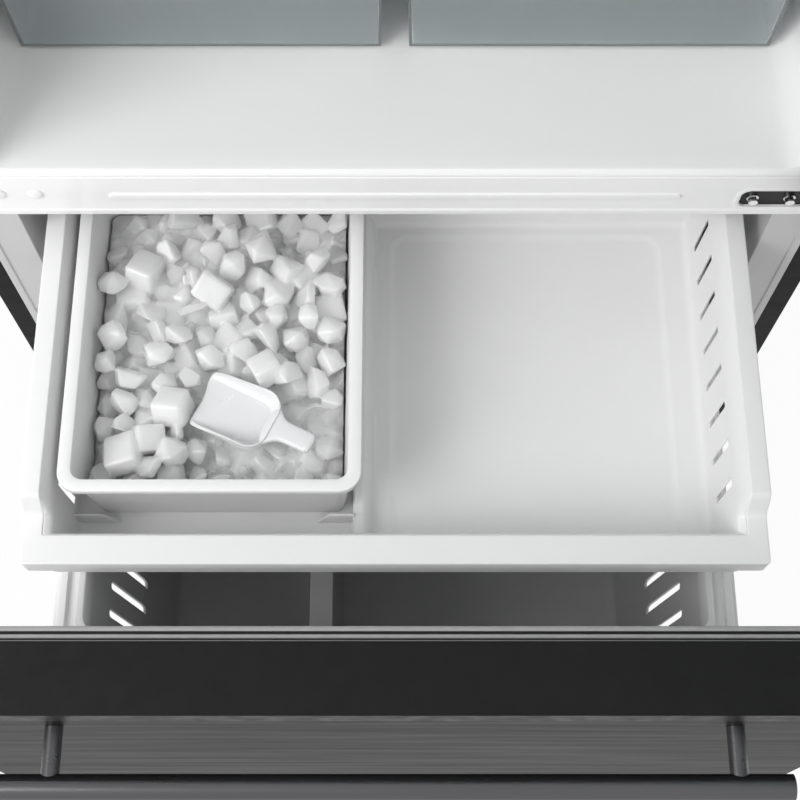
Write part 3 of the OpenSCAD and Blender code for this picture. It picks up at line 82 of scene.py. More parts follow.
def material(name, color, rough, vary, scale, rvary, bump, grain, metal=0.0, stretch=(1, 1, 1),
             spec=0.5, coat=0.0, trans=0.0, ior=1.46, grain_kind="noise", scatter=0.0, sheen=0.0):
    """A Principled material whose colour and roughness wander with one noise, and whose
    surface carries a finer grain."""
    m = bpy.data.materials.new(name)
    m.use_nodes = True
    nt = m.node_tree
    b = nt.nodes["Principled BSDF"]
    set_inputs(b, {"Metallic": metal, "Specular IOR Level": spec, "IOR": ior,
                   "Transmission Weight": trans})
    if scatter:
        set_inputs(b, {"Subsurface Weight": scatter, "Subsurface Radius": (1.0, 1.0, 1.0),
                       "Subsurface Scale": 0.03})
    if sheen:
        set_inputs(b, {"Sheen Weight": sheen, "Sheen Roughness": 0.35})
    if coat:
        set_inputs(b, {"Coat Weight": coat, "Coat Roughness": 0.12})
    tc = nt.nodes.new("ShaderNodeTexCoord")
    mp = nt.nodes.new("ShaderNodeMapping")
    set_inputs(mp, {"Scale": stretch})
    link(nt, tc.outputs["Object"], mp.inputs["Vector"])
    wander = nt.nodes.new("ShaderNodeTexNoise")
    set_inputs(wander, {"Scale": scale, "Detail": 4.0})
    link(nt, mp.outputs["Vector"], wander.inputs["Vector"])
    ramp = nt.nodes.new("ShaderNodeValToRGB")
    dark = [max(0.0, c * (1 - vary)) for c in color]
    light = [min(1.0, c * (1 + vary)) for c in color]
    for stop, position, shade in zip(ramp.color_ramp.elements, NOISE_RANGE, (dark, light)):
        stop.position = position
        stop.color = (*shade, 1)
    link(nt, wander.outputs["Fac"], ramp.inputs["Fac"])
    link(nt, ramp.outputs["Color"], b.inputs["Base Color"])
    rr = nt.nodes.new("ShaderNodeMapRange")
    set_inputs(rr, {"From Min": NOISE_RANGE[0], "From Max": NOISE_RANGE[1],
                    "To Min": max(SMOOTHEST, rough - rvary), "To Max": rough + rvary})
    link(nt, wander.outputs["Fac"], rr.inputs["Value"])
    link(nt, rr.outputs["Result"], b.inputs["Roughness"])
    if grain_kind == "noise":
        g = nt.nodes.new("ShaderNodeTexNoise")
        set_inputs(g, {"Detail": 2.0})
        out = g.outputs["Fac"]
    else:
        g = nt.nodes.new("ShaderNodeTexVoronoi")
        out = g.outputs["Distance"]
    set_inputs(g, {"Scale": grain})
    link(nt, mp.outputs["Vector"], g.inputs["Vector"])
    bp = nt.nodes.new("ShaderNodeBump")
    set_inputs(bp, {"Strength": bump, "Distance": GRAIN_HEIGHT})
    link(nt, out, bp.inputs["Height"])
    link(nt, bp.outputs["Normal"], b.inputs["Normal"])
    return m


# Colour, roughness, and how far (vary, rvary) and how finely (scale) they wander; depth (bump)
# and fineness (grain) of the surface's grain. Scales are per metre.
LOOKS = {
    "black_steel": dict(color=(0.0045, 0.0045, 0.0047), rough=0.44, vary=0.10, scale=6,
                        rvary=0.05, bump=0.05, grain=500, stretch=(1, 1, 18), spec=0.08),
    "galvanised": dict(color=(0.56, 0.57, 0.58), rough=0.42, metal=0.9, vary=0.10, scale=70,
                       rvary=0.10, bump=0.06, grain=260, grain_kind="voronoi"),
    "white_paint": dict(color=(0.84, 0.84, 0.84), rough=0.30, vary=0.005, scale=14, rvary=0.015,
                        bump=0.02, grain=700, coat=0.25),
    "white_plastic": dict(color=(0.83, 0.83, 0.83), rough=0.32, vary=0.006, scale=16, rvary=0.02,
                          bump=0.02, grain=650),
    "liner": dict(color=(0.86, 0.86, 0.86), rough=0.36, vary=0.007, scale=10, rvary=0.02,
                  bump=0.03, grain=380),
    # the liner's own plastic greyed from 0.86 to 0.50 as painted shade, for the drawer's shadow on
    # the flanges
    "liner_painted_shade": dict(color=(0.50, 0.50, 0.50), rough=0.36, vary=0.007, scale=10, rvary=0.02,
                          bump=0.03, grain=380),
    "black_plastic": dict(color=(0.009, 0.009, 0.0095), rough=0.46, vary=0.12, scale=60,
                          rvary=0.08, bump=0.18, grain=1300, spec=0.18),
    "grey_plastic": dict(color=(0.26, 0.27, 0.28), rough=0.45, vary=0.05, scale=60, rvary=0.08,
                         bump=0.15, grain=1200),
    "foam": dict(color=(0.72, 0.62, 0.36), rough=0.85, vary=0.12, scale=40, rvary=0.05, bump=0.7,
                 grain=320, grain_kind="voronoi"),
    "gasket": dict(color=(0.30, 0.30, 0.30), rough=0.45, vary=0.05, scale=80, rvary=0.06,
                   bump=0.10, grain=900),
    # near-black painted shade for the gasket's folds, on the same rubber as gasket
    "gasket_painted_shade": dict(color=(0.02, 0.02, 0.021), rough=0.6, vary=0.1, scale=80, rvary=0.06,
                        bump=0.10, grain=900, spec=0.3),
    "rubber": dict(color=(0.022, 0.022, 0.022), rough=0.7, vary=0.15, scale=90, rvary=0.08,
                   bump=0.3, grain=900),
    "bolt": dict(color=(0.72, 0.72, 0.73), rough=0.16, metal=1.0, vary=0.05, scale=150,
                 rvary=0.06, bump=0.08, grain=1400),
    "hinge": dict(color=(0.009, 0.009, 0.0095), rough=0.40, vary=0.1, scale=60, rvary=0.08,
                  bump=0.12, grain=900, spec=0.2),
    "slide": dict(color=(0.60, 0.61, 0.62), rough=0.30, metal=0.9, vary=0.06, scale=50,
                  rvary=0.08, bump=0.10, grain=500, stretch=(1, 6, 1)),
    "handle": dict(color=(0.10, 0.10, 0.105), rough=0.30, metal=0.85, vary=0.10, scale=30,
                   rvary=0.08, bump=0.20, grain=900, stretch=(0.05, 1, 1)),
    "copper": dict(color=(0.62, 0.30, 0.16), rough=0.28, metal=1.0, vary=0.12, scale=60,
                   rvary=0.08, bump=0.08, grain=700),
    "aluminium": dict(color=(0.72, 0.73, 0.74), rough=0.32, metal=1.0, vary=0.06, scale=60,
                      rvary=0.08, bump=0.10, grain=800),
    "clear_plastic": dict(color=(0.86, 0.92, 0.93), rough=0.12, vary=0.01, scale=20, rvary=0.03,
                          bump=0.03, grain=500, trans=0.86, ior=1.49),
    "glass": dict(color=(0.82, 0.93, 0.90), rough=0.04, vary=0.01, scale=8, rvary=0.01,
                  bump=0.01, grain=60, trans=0.95, ior=1.52),
    "lens": dict(color=(0.92, 0.91, 0.86), rough=0.35, vary=0.02, scale=30, rvary=0.05, bump=0.3,
                 grain=1500),
    "ice": dict(color=(0.985, 0.987, 0.99), rough=0.14, vary=0.02, scale=60, rvary=0.08,
                bump=0.35, grain=150, trans=0.12, ior=1.31, coat=0.5, scatter=1.0, sheen=0.4),
    "scoop": dict(color=(0.86, 0.87, 0.875), rough=0.24, vary=0.012, scale=50, rvary=0.05,
                  bump=0.04, grain=600, trans=0.12),
    "black_paint": dict(color=(0.014, 0.014, 0.014), rough=0.35, vary=0.15, scale=60, rvary=0.1,
                        bump=0.15, grain=500),
}
M = {name: material(name, **look) for name, look in LOOKS.items()}
bpy.context.view_layer.update()


# ---------------------------------------------------------------- helpers
def finish_mesh(ob):
    me = ob.data
    bm = bmesh.new()
    bm.from_mesh(me)
    bmesh.ops.recalc_face_normals(bm, faces=bm.faces)
    bm.to_mesh(me)
    bm.free()
    me.shade_smooth()
    me.set_sharp_from_angle(angle=SHARP)


def add(name, bm, body, mats, replaces=()):
    """Makes an object from a bmesh in millimetres and lets it ride on a body."""
    bmesh.ops.scale(bm, vec=(MM, MM, MM), verts=bm.verts)
    me = bpy.data.meshes.new(name)
    bm.to_mesh(me)
    bm.free()
    ob = bpy.data.objects.new(name, me)
    scene.collection.objects.link(ob)
    for m in mats:
        me.materials.append(M[m])
    finish_mesh(ob)
    if body:
        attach(ob, body)
        if replaces:
            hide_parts(*replaces)
    return ob


def apply_modifiers(ob):
    """Makes what the modifiers give the object's own mesh."""
    dg = bpy.context.evaluated_depsgraph_get()
    me = bpy.data.meshes.new_from_object(ob.evaluated_get(dg))
    old = ob.data
    ob.modifiers.clear()
    ob.data = me
    bpy.data.meshes.remove(old)


def cut(ob, cutter_bm):
    """Takes the closed cutter shapes away from an object."""
    c = add("cutter", cutter_bm, None, [])
    md = ob.modifiers.new("cut", "BOOLEAN")
    md.object = c
    md.solver = "EXACT"
    md.operation = "DIFFERENCE"
    bpy.context.view_layer.update()
    apply_modifiers(ob)
    bpy.data.objects.remove(c)
    me = ob.data
    me.shade_smooth()
    me.set_sharp_from_angle(angle=SHARP)


def rrect(x0, x1, a0, a1, r, n, sides=()):
    """Points round a rounded rectangle, as (x, a), starting at the corner with high x and low a.
    Each corner has n steps, and the sides of constant x also have points at the values given."""
    r = max(0.05, min(r, (x1 - x0) / 2 - 0.05, (a1 - a0) / 2 - 0.05))
    pts = []
    corners = [(x1 - r, a0 + r, -90), (x1 - r, a1 - r, 0),
               (x0 + r, a1 - r, 90), (x0 + r, a0 + r, 180)]
    for k, (cx, ca, a) in enumerate(corners):
        for i in range(n + 1):
            t = math.radians(a + 90 * i / n)
            pts.append((cx + r * math.cos(t), ca + r * math.sin(t)))
        if k == 0:
            pts += [(x1, v) for v in sides]
        elif k == 2:
            pts += [(x0, v) for v in reversed(sides)]
    return pts


def join_rings(bm, a, b):
    """The faces between two rings of vertices."""
    n = len(a)
    return [bm.faces.new((a[i], a[(i + 1) % n], b[(i + 1) % n], b[i])) for i in range(n)]


def loft(bm, rings, cap0=True, cap1=True):
    """Joins rings of equal length with faces, and closes the first and the last."""
    loops = [[bm.verts.new(p) for p in ring] for ring in rings]
    for a, b in zip(loops, loops[1:]):
        join_rings(bm, a, b)
    if cap0:
        bm.faces.new(loops[0])
    if cap1:
        bm.faces.new(list(reversed(loops[-1])))
    return loops


def bar(bm, lo, hi, r, seg=2):
    """A box between two corners, with edges of radius r."""
    geo = bmesh.ops.create_cube(bm, size=1.0)
    vs = geo["verts"]
    for v in vs:
        v.co = Vector([lo[k] + (v.co[k] + 0.5) * (hi[k] - lo[k]) for k in range(3)])
    es = list(dict.fromkeys(e for v in vs for e in v.link_edges))
    r = min(r, 0.45 * min(hi[k] - lo[k] for k in range(3)))
    if r > 0:
        bmesh.ops.bevel(bm, geom=es, offset=r, segments=seg, profile=0.5, affect="EDGES",
                        clamp_overlap=True)


def arc(cx, cz, r, a0, a1, n):
    """Points of an arc from a0 to a1 degrees, in n steps."""
    return [(cx + r * math.cos(math.radians(a0 + (a1 - a0) * i / n)),
             cz + r * math.sin(math.radians(a0 + (a1 - a0) * i / n))) for i in range(n + 1)]


def circle(cx, cz, r, n):
    """Points round a circle, n of them and even."""
    turns = [math.pi * i / (n // 2) for i in range(n)]
    return [(cx + r * math.cos(t), cz + r * math.sin(t)) for t in turns]


WELD_WITHIN = 0.00002
ROUNDED_FROM = math.radians(38)    # the least angle between faces whose edge is rounded


def soften(name, width):
    """Rounds a CAD node's edges without touching its own mesh."""
    ob = nodes[name]
    w = ob.modifiers.new("weld", "WELD")
    w.merge_threshold = WELD_WITHIN
    b = ob.modifiers.new("bevel", "BEVEL")
    b.width = width * MM
    b.segments = 2
    b.limit_method = "ANGLE"
    b.angle_limit = ROUNDED_FROM
    b.use_clamp_overlap = True
    b.harden_normals = False
    ob.modifiers.new("wn", "WEIGHTED_NORMAL")


def ease(t):
    """A soft step from 0 to 1."""
    t = min(1.0, max(0.0, t))
    return t * t * (3 - 2 * t)


def slot_ring(y, z, w, h, grow):
    """A standing slot's outline, as (y, z)."""
    r = w / 2 + grow
    hh = h / 2 - w / 2
    return arc(y, z + hh, r, 0, 180, 8) + arc(y, z - hh, r, 180, 360, 8)


# ---------------------------------------------------------------- camera, light, floor
cam_data = bpy.data.cameras.new("camera")
cam = bpy.data.objects.new("camera", cam_data)
scene.collection.objects.link(cam)
# solved from the photo: above the pulled-out freezer, looking down and a little to the back
CAM_SPOT = (0.004, -0.896, 1.6946)
CAM_TILT = math.radians(21.7)
cam.location = CAM_SPOT
cam.rotation_euler = (CAM_TILT, 0, 0)
cam_data.lens = 63.585
cam_data.sensor_width = 36.0
cam_data.clip_start = 0.02
cam_data.clip_end = 60
scene.camera = cam
scene.view_settings.view_transform = "Standard"


def seen_directly(nt):
    """1 for camera, glossy and transmission rays, 0 for the rays that light things."""
    lp = nt.nodes.new("ShaderNodeLightPath")
    out = lp.outputs["Is Camera Ray"]
    for kind in ("Is Glossy Ray", "Is Transmission Ray"):
        either = nt.nodes.new("ShaderNodeMath")
        either.operation = "MAXIMUM"
        link(nt, out, either.inputs[0])
        link(nt, lp.outputs[kind], either.inputs[1])
        out = either.outputs[0]
    return out


def mix_shaders(nt, fac, a, b, output):
    """Shows shader a where fac is 0 and shader b where it is 1."""
    mix = nt.nodes.new("ShaderNodeMixShader")
    link(nt, fac, mix.inputs["Fac"])
    link(nt, a, mix.inputs[1])
    link(nt, b, mix.inputs[2])
    link(nt, mix.outputs[0], output.inputs["Surface"])


WHITE = (1, 1, 1, 1)
SKY_LIGHT = 0.90     # what lights the part, while the camera sees pure white
FLOOR_WHITE = 0.94   # how much of the floor is plain white to the camera, the rest takes shadows

world = bpy.data.worlds.new("studio")
scene.world = world
world.use_nodes = True
wn = world.node_tree
wn.nodes.clear()
w_out = wn.nodes.new("ShaderNodeOutputWorld")
w_soft = wn.nodes.new("ShaderNodeBackground")
set_inputs(w_soft, {"Color": WHITE, "Strength": SKY_LIGHT})
w_white = wn.nodes.new("ShaderNodeBackground")
set_inputs(w_white, {"Color": WHITE, "Strength": 1.0})
mix_shaders(wn, seen_directly(wn), w_soft.outputs[0], w_white.outputs[0], w_out)


def lamp(name, loc, target, size, energy):
    """An area lamp at loc that points at target, in metres and watts."""
    d = bpy.data.lights.new(name, "AREA")
    d.shape = "RECTANGLE"
    d.size, d.size_y = size
    d.energy = energy
    o = bpy.data.objects.new(name, d)
    scene.collection.objects.link(o)
    o.location = loc
    o.rotation_euler = (Vector(target) - Vector(loc)).to_track_quat("-Z", "Y").to_euler()


lamp("key", loc=(-1.5, -1.4, 2.1), target=(0, -0.35, 0.6), size=(1.3, 1.3), energy=32)
lamp("back", loc=(0.0, 2.6, 2.8), target=(0, 0.2, 0.9), size=(2.6, 1.6), energy=10)

FLOOR_HALF, FLOOR_ROUND, FLOOR_THICK = 9000, 400, 20
floor_bm = bmesh.new()
loft(floor_bm, [[(x, y, z) for x, y in
                 rrect(-FLOOR_HALF, FLOOR_HALF, -FLOOR_HALF, FLOOR_HALF, FLOOR_ROUND, 6)]
                for z in (-FLOOR_THICK, 0)])
floor = add("floor", floor_bm, None, [])
fm = bpy.data.materials.new("studio_floor")
fm.use_nodes = True
fn = fm.node_tree
fb = fn.nodes["Principled BSDF"]
set_inputs(fb, {"Roughness": 0.75, "Base Color": (0.82, 0.82, 0.82, 1)})
f_em = fn.nodes.new("ShaderNodeEmission")
set_inputs(f_em, {"Color": WHITE, "Strength": 1.0})
f_fac = fn.nodes.new("ShaderNodeMath")
f_fac.operation = "MULTIPLY"
f_fac.inputs[1].default_value = FLOOR_WHITE
link(fn, seen_directly(fn), f_fac.inputs[0])
mix_shaders(fn, f_fac.outputs[0], fb.outputs[0], f_em.outputs[0], fn.nodes["Material Output"])
floor.data.materials.append(fm)
floor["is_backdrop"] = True

# ---------------------------------------------------------------- CAD nodes that stay
# radius of the rounded edges, in millimetres
SOFT_EDGES = {
    "outer_shell": 0.45, "back_panel": 0.4, "base_pan": 0.5, "freezer_liner": 0.9,
    "middle_hinge": 0.7, "top_hinge": 0.6, "hinge_bolts": 0.35, "top_hinge_cover": 2.0,
    "toe_grille": 0.8, "condenser": 0.3, "condenser_fan_motor": 1.2,
    "condenser_fan": 0.5, "drip_tray": 0.8, "rear_cover": 0.4, "power_inlet": 0.8,
    "evaporator": 0.25, "evaporator_cover": 0.8, "evaporator_fan_motor": 1.2,
    "evaporator_fan": 0.5, "air_duct": 0.9, "fridge_lamp": 2.5, "control_panel": 2.5,
    "temperature_knob": 0.8, "glass_shelves": 0.9, "shelf_frames": 0.9, "shelf_tracks": 0.6,
    "leg_left": 1.2, "leg_right": 1.2, "rear_rollers": 1.5, "slide_outer_members": 0.5,
    "slide_middle_members": 0.5, "slide_inner_members": 0.5, "drawer_brackets": 0.6,
    "freezer_door_caps": 1.6, "freezer_door_skin": 0.3, "fridge_door_skin": 0.3,
    "freezer_door_liner": 1.2, "freezer_handle": 1.5, "basket_divider": 1.0,
    "fridge_door_caps": 1.6, "fridge_door_liner": 1.4, "fridge_handle": 1.5,
    "compressor_mounts": 0.8, "crisper_left": 0.8, "crisper_right": 0.8, "door_bins": 0.8,
}
for group in frame["record"]["behaviour"]["bodies"].values():
    for n in group:
        for s in nodes[n].material_slots:
            key = s.material.name.split(".")[0] if s.material else ""
            if key in M:
                s.material = M[key]
# painted shade: the freezer liner and the basket divider take the greyed liner, for the drawer's
# shadow on the flanges and the shade deep in the basket
for n in ("freezer_liner", "basket_divider"):
    for s in nodes[n].material_slots:
        s.material = M["liner_painted_shade"]
for n, w in SOFT_EDGES.items():
    soften(n, w)


# ---------------------------------------------------------------- upper drawer
FRONT = -594.0
RIM_HALF, RIM_BACK, RIM_TOP = 307.5, -204, 595
FOOT_HALF, FOOT_FRONT, FOOT_BACK = 281, -563.25, -230.5    # the inner walls at the floor
DRAWER_FLOOR = 485
RIM_DROP, DROP_FROM, DROP_LENGTH = 22.0, 40, 14    # the rim's step down near the front
# where the left and right sides have points, close together along that step
SIDE_YS = [-556 + 2 * i for i in range(10)] + [-500, -460, -420, -380, -340, -300, -260]


def dip(y):
    """How far the drawer's rim lies below its back part, as a negative height."""
    return -RIM_DROP * (1 - ease((y - FRONT - DROP_FROM) / DROP_LENGTH))


def drawer_ring(h, y0, y1, z, r, w=0.0):
    """A ring of half width h, which follows the rim's step by the share w."""
    return [(x, y, z + w * dip(y)) for x, y in rrect(-h, h, y0, y1, r, 6, SIDE_YS)]


def wall_inset(d, z, r):
    """A ring of the drawer's inner wall: d is the distance in from the wall's foot."""
    return drawer_ring(FOOT_HALF - d, FOOT_FRONT + d, FOOT_BACK - d, z, r)


bm = bmesh.new()
# inside: up from the floor, along the drafted wall and over the rim's inner edge
rings = [wall_inset(8.8, DRAWER_FLOOR, 2), wall_inset(8, DRAWER_FLOOR, 2)]
rings += [wall_inset(8 - a, z, 2.5) for a, z in arc(0, 493, 8, -75, 0, 5)]
for h, z, w in ((284, 567, 0), (284.5, 572, 5 / 28), (285.7, 579, 12 / 28), (287.6, 586, 19 / 28),
                (289.8, 591.5, 24.5 / 28), (290.6, 593.7, 1), (290.9, 594.5, 1), (291.4, 594.9, 1),
                (292.2, RIM_TOP, 1)):
    t = (h - 284) / 7.5
    rings.append(drawer_ring(h, -566.25 - 3.75 * t, -227.5 + 7.5 * t, z, 2.6, w))
# the flat rim, its outer edge and the skirt under it
rings.append(drawer_ring(305.6, FRONT + 1.9, -205.9, RIM_TOP, 2.6, 1))
for x, z in arc(306.3, 593.8, 1.2, 75, 0, 3):
    d = RIM_HALF - x
    rings.append(drawer_ring(x, FRONT + d, RIM_BACK - d, z, 4 - d, 1))
for d, z in ((0.1, 574.3), (0.3, 573.5), (0.9, 573.0), (1.9, 573.0), (2.3, 573.4), (2.5, 574.5),
             (2.5, 589.5), (3.4, 592.2)):
    rings.append(drawer_ring(RIM_HALF - d, FRONT + d, RIM_BACK - d, z, 4 - d * 0.5, 1))
# outside: back under the rim and down to the floor's underside
for h, z, w in ((297, 592.4, 1), (292.4, 588, 0.9), (288.8, 580, 0.6), (286.9, 568, 0.1),
                (286.6, 560, 0)):
    t = (h - 286.5) / 7.5
    rings.append(drawer_ring(h, -568.75 - 3.75 * t, -225 + 7.5 * t, z, 5.0, w))
rings += [drawer_ring(283.5 - d, -565.75 + d, -228 - d, z, 5) for d, z in
          [(10.5 - a, b) for a, b in arc(0, 493, 10.5, 0, -90, 5)]]
rings.append(drawer_ring(272.2, -554.45, -239.3, 482.5, 2))
loops = loft(bm, rings, cap0=False)
# the floor's flat part, with the shallow pressed panel of the right bay in it
panel = [[bm.verts.new((x, y, z)) for x, y in
          rrect(-7 + d, 256 - d, -552 + d, -241.6 - d, 20 - d, 8)]
         for d, z in ((0, DRAWER_FLOOR), (1.2, 484.85), (3, 484.35), (5, 483.65), (7, 483.2),
                      (8.5, 483.1), (10, 483.1))]
edges = []
for lp in (loops[0], panel[0]):
    for pair in zip(lp, lp[1:] + lp[:1]):
        edges.append(bm.edges.get(pair) or bm.edges.new(pair))
bmesh.ops.triangle_fill(bm, use_beauty=True, edges=edges)
for a, b in zip(panel, panel[1:]):
    join_rings(bm, a, b)
bm.faces.new(panel[-1])
drawer = add("upper_drawer_shell", bm, "upper_drawer", ["white_plastic"],
             ["upper_drawer"])

# vents through the side walls, which widen outwards
VENTS, VENT_FIRST, VENT_STEP, VENT_HALF = 8, 75, 35.4, 3.3
bm = bmesh.new()
for side in (-1, 1):
    for i in range(VENTS):
        y = FRONT + VENT_FIRST + VENT_STEP * i
        loft(bm, [[(side * (FOOT_HALF + 3 * (z - DRAWER_FLOOR) / 82 + off), yy, z) for yy, z in
                   rrect(y - VENT_HALF - g, y + VENT_HALF + g, 508 - g, 562 + g * 0.4, 0.5, 2)]
                  for off, g in ((-8, 0.25), (-0.05, 0.25), (0.25, 0), (3.4, 2.6), (9, 2.6))])
cut(drawer, bm)


def extend(ob, extra):
    """Adds closed parts, in millimetres, to an object's mesh."""
    bmesh.ops.scale(extra, vec=(MM, MM, MM), verts=extra.verts)
    bmesh.ops.recalc_face_normals(extra, faces=extra.faces)
    for f in extra.faces:
        f.smooth = True
    tmp = bpy.data.meshes.new("tmp")
    extra.to_mesh(tmp)
    extra.free()
    b = bmesh.new()
    b.from_mesh(ob.data)
    b.from_mesh(tmp)
    b.to_mesh(ob.data)
    b.free()
    bpy.data.meshes.remove(tmp)
    ob.data.set_sharp_from_angle(angle=SHARP)


bm = bmesh.new()
# the rib that divides the drawer
rib = [(-41, 485.02), (-39, 485.5), (-38.1, 487.5), (-37.7, 499.6), (-37.0, 501.6), (-35.6, 502.8),
       (-33.5, 503), (-30, 503), (-28.2, 502.6), (-26.6, 501.3), (-22.4, 494.6), (-21.4, 492),
       (-20.9, 488), (-20.0, 485.8), (-17.5, 485.02), (-17.5, 484), (-41, 484)]
loft(bm, [[(x, y, z) for x, z in rib] for y in (-565, -229)])
# runners that slide in the grooves of the basket's rim
GROOVE_X = 287.85
for side in (-1, 1):
    mid = side * GROOVE_X
    bar(bm, (mid - 4.0, -546, 457.6), (mid + 4.0, -244, 495), 1.6, 3)
# upright stops in front of the ice bin, a little smaller towards their faces
for fin in ([(-283.5, 484), (-283.5, 507), (-258.5, 507), (-256.8, 506.4), (-243.6, 486),
             (-243, 484)],
            [(-36.5, 484), (-36.5, 507), (-56.5, 507), (-58.2, 506.4), (-69.4, 486), (-70, 484)]):
    mid_x = sum(x for x, z in fin) / len(fin)
    loft(bm, [[(mid_x + (x - mid_x) * k, y, 484 + (z - 484) * k) for x, z in fin] for y, k in
              ((-532.5, 0.975), (-532.2, 1), (-530.8, 1), (-530.5, 0.975))])
# the front's inner band, which shows below the skirt
loft(bm, [[(x, y, z) for x, z in rrect(-286, 286, 541.5, 556, 6, 6)] for y in (-592.2, -589.8)])
bar(bm, (-284, -590.5, 546), (284, -566, 548), 0.6, 2)
# stiffening ribs under the floor
for y in (-520, -440, -360, -280):
    bar(bm, (-262, y - 1, 479.5), (262, y + 1, 483), 0.5, 2)
extend(drawer, bm)

# ---------------------------------------------------------------- ice bin
BX, BY = -154, -386.5                          # the bin's middle
HALF_X, HALF_Y, BIN_CORNER = 106.8, 135.2, 9   # its inner walls at their foot
WALL_FOOT, WALL_RISE = 496.7, 88.5
DRAFT_X, DRAFT_Y = 7.8, 3.9                    # how far they lean out over their rise


def bin_ring(hx, hy, z, r):
    """A ring of the bin, of half size hx by hy."""
    return [(x, y, z) for x, y in rrect(BX - hx, BX + hx, BY - hy, BY + hy, r, 8)]


bm = bmesh.new()
# inside
rings = [bin_ring(94, 122, 487.7, 3)]
rings += [bin_ring(HALF_X - BIN_CORNER + a, HALF_Y - BIN_CORNER + a, z, BIN_CORNER)
          for a, z in arc(0, WALL_FOOT, BIN_CORNER, -90, 0, 6)]
rings += [bin_ring(HALF_X + DRAFT_X * t, HALF_Y + DRAFT_Y * t, WALL_FOOT + WALL_RISE * t, 9.5)
          for t in (0.5, 0.97)]
# the thick rolled rim
rings += [bin_ring(114.6 + d, 139.1 + d, z, 10 + d) for d, z in
          ((0.15, 587.2), (0.5, 588.0), (1.1, 588.3))]
rings += [bin_ring(126 - d, 150 - d, z, 18 - d) for d, z in
          ((1.1, 588.3), (0.35, 588.0), (0, 587.2), (0, 581.2), (0.3, 580.5), (1.1, 580.3),
           (1.9, 580.6), (2.3, 581.5), (2.6, 584.5), (3.6, 585.7))]
# outside, down to the bottom
rings += [bin_ring(*row) for row in
          ((118.6, 142.8, 585.4, 11.5), (117.7, 141.8, 583.5, 11), (109.8, 137.9, 494, 10),
           (109.1, 137.2, 489.5, 9.5), (107.1, 135.2, 486.6, 8.5), (103.4, 131.5, 485.3, 6),
           (98, 126, 485.3, 3))]
loft(bm, rings)
add("ice_bin_shell", bm, "ice_bin", ["white_plastic"], ["ice_bin"])

# ---------------------------------------------------------------- ice
SCOOP_AT = Vector((-138, -454.5, 551))
SCOOP_TURN = math.radians(-26)


def scoop_local(x, y):
    """A point of the bin in the scoop's own plan."""
    dx, dy = x - SCOOP_AT.x, y - SCOOP_AT.y
    return (dx * math.cos(SCOOP_TURN) + dy * math.sin(SCOOP_TURN),
            -dx * math.sin(SCOOP_TURN) + dy * math.cos(SCOOP_TURN))


def under_scoop(x, y, end, half):
    """Whether a point lies within the scoop's plan, up to end along it and half to each side."""
    u, v = scoop_local(x, y)
    return -44 < u < end and abs(v) < half


def apart(a, b):
    """The vectors and the distances from each of the points b to each of the points a."""
    d = a[:, None, :] - b[None, :, :]
    return d, np.sqrt((d ** 2).sum(2)) + 1e-6


# A packing of balls, one for each piece of ice, with centres P and radii R. They sink step by
# step, and are pushed apart, out of the scoop and back inside the bin.
PIECES = 450
SPREAD_X, SPREAD_Y = 98, 122                   # half the plan in which they start
STEPS, FAST_STEPS = 240, 180
SINK_FAST, SINK_SLOW = 1.6, 0.25
TOUCH, PUSH = 0.82, 0.42                       # how near two balls may be, and how fast they part
WALLS = ((0, BX, 106.5, 9), (1, BY, 135, 4.5))   # axis, middle, half size at the foot, lean
WALL_HEIGHT = 103
HEAP_TOP, BED_TOP = 555, 528                   # heights of the heap and of its bed at the front
HEAP_RISE, HEAP_FROM, HEAP_LENGTH = 13, BY - 130, 190   # both are higher at the back
rng = np.random.default_rng(7)
random.seed(11)
P = np.column_stack([rng.uniform(BX - SPREAD_X, BX + SPREAD_X, PIECES),
                     rng.uniform(BY - SPREAD_Y, BY + SPREAD_Y, PIECES),
                     rng.uniform(500, 650, PIECES)])
R = rng.uniform(11.5, 16.5, PIECES)
# balls in place of the scoop, with centres S and radii SR: three abreast in its bowl, then one in
# its handle
BOWL_END = 34
spots = []
for u in np.linspace(-26, 76, 9):
    for v in ((-22, 0, 22) if u < BOWL_END else (0,)):
        spots.append((SCOOP_AT.x + u * math.cos(SCOOP_TURN) - v * math.sin(SCOOP_TURN),
                      SCOOP_AT.y + u * math.sin(SCOOP_TURN) + v * math.cos(SCOOP_TURN),
                      561 if u < BOWL_END else 571))
S = np.array(spots)
SR = np.where(S[:, 2] > 565, 11.0, 14.0)
for step in range(STEPS):
    P[:, 2] -= SINK_FAST if step < FAST_STEPS else SINK_SLOW
    d, far = apart(P, P)
    push = np.clip((R[:, None] + R[None, :]) * TOUCH - far, 0, None) / far * PUSH
    np.fill_diagonal(push, 0)
    P += (d * push[:, :, None]).sum(1)
    d, far = apart(P, S)
    push = np.clip(R[:, None] * 0.86 + SR[None, :] - far, 0, None) / far
    move = (d * push[:, :, None]).max(1) + (d * push[:, :, None]).min(1)
    move[:, 2] = np.minimum(move[:, 2], 0)
    P += move * 0.6
    for axis, mid, half, lean in WALLS:
        rise = lean * (P[:, 2] - DRAWER_FLOOR) / WALL_HEIGHT - R * 0.97
        P[:, axis] = np.clip(P[:, axis], mid - half - rise, mid + half + rise)
    heap = HEAP_TOP + HEAP_RISE * np.clip((P[:, 1] - HEAP_FROM) / HEAP_LENGTH, 0, 1)
    P[:, 2] = np.clip(P[:, 2], 489 + R * 0.8, heap)
# nothing stands up through the scoop
for i in range(PIECES):
    if under_scoop(P[i, 0], P[i, 1], 80, 35):
        P[i, 2] = min(P[i, 2], 549.5 - 1.25 * R[i])


def pattern(b):
    """The points and faces of a bmesh, which is freed."""
    b.verts.index_update()
    out = ([v.co.copy() for v in b.verts], [[v.index for v in f.verts] for f in b.faces])
    b.free()
    return out


def cube_pattern():
    """Points and faces of a unit cube with soft edges."""
    b = bmesh.new()
    bmesh.ops.create_cube(b, size=1.0)
    bmesh.ops.bevel(b, geom=list(b.edges), offset=0.13, segments=3, profile=0.55, affect="EDGES")
    return pattern(b)


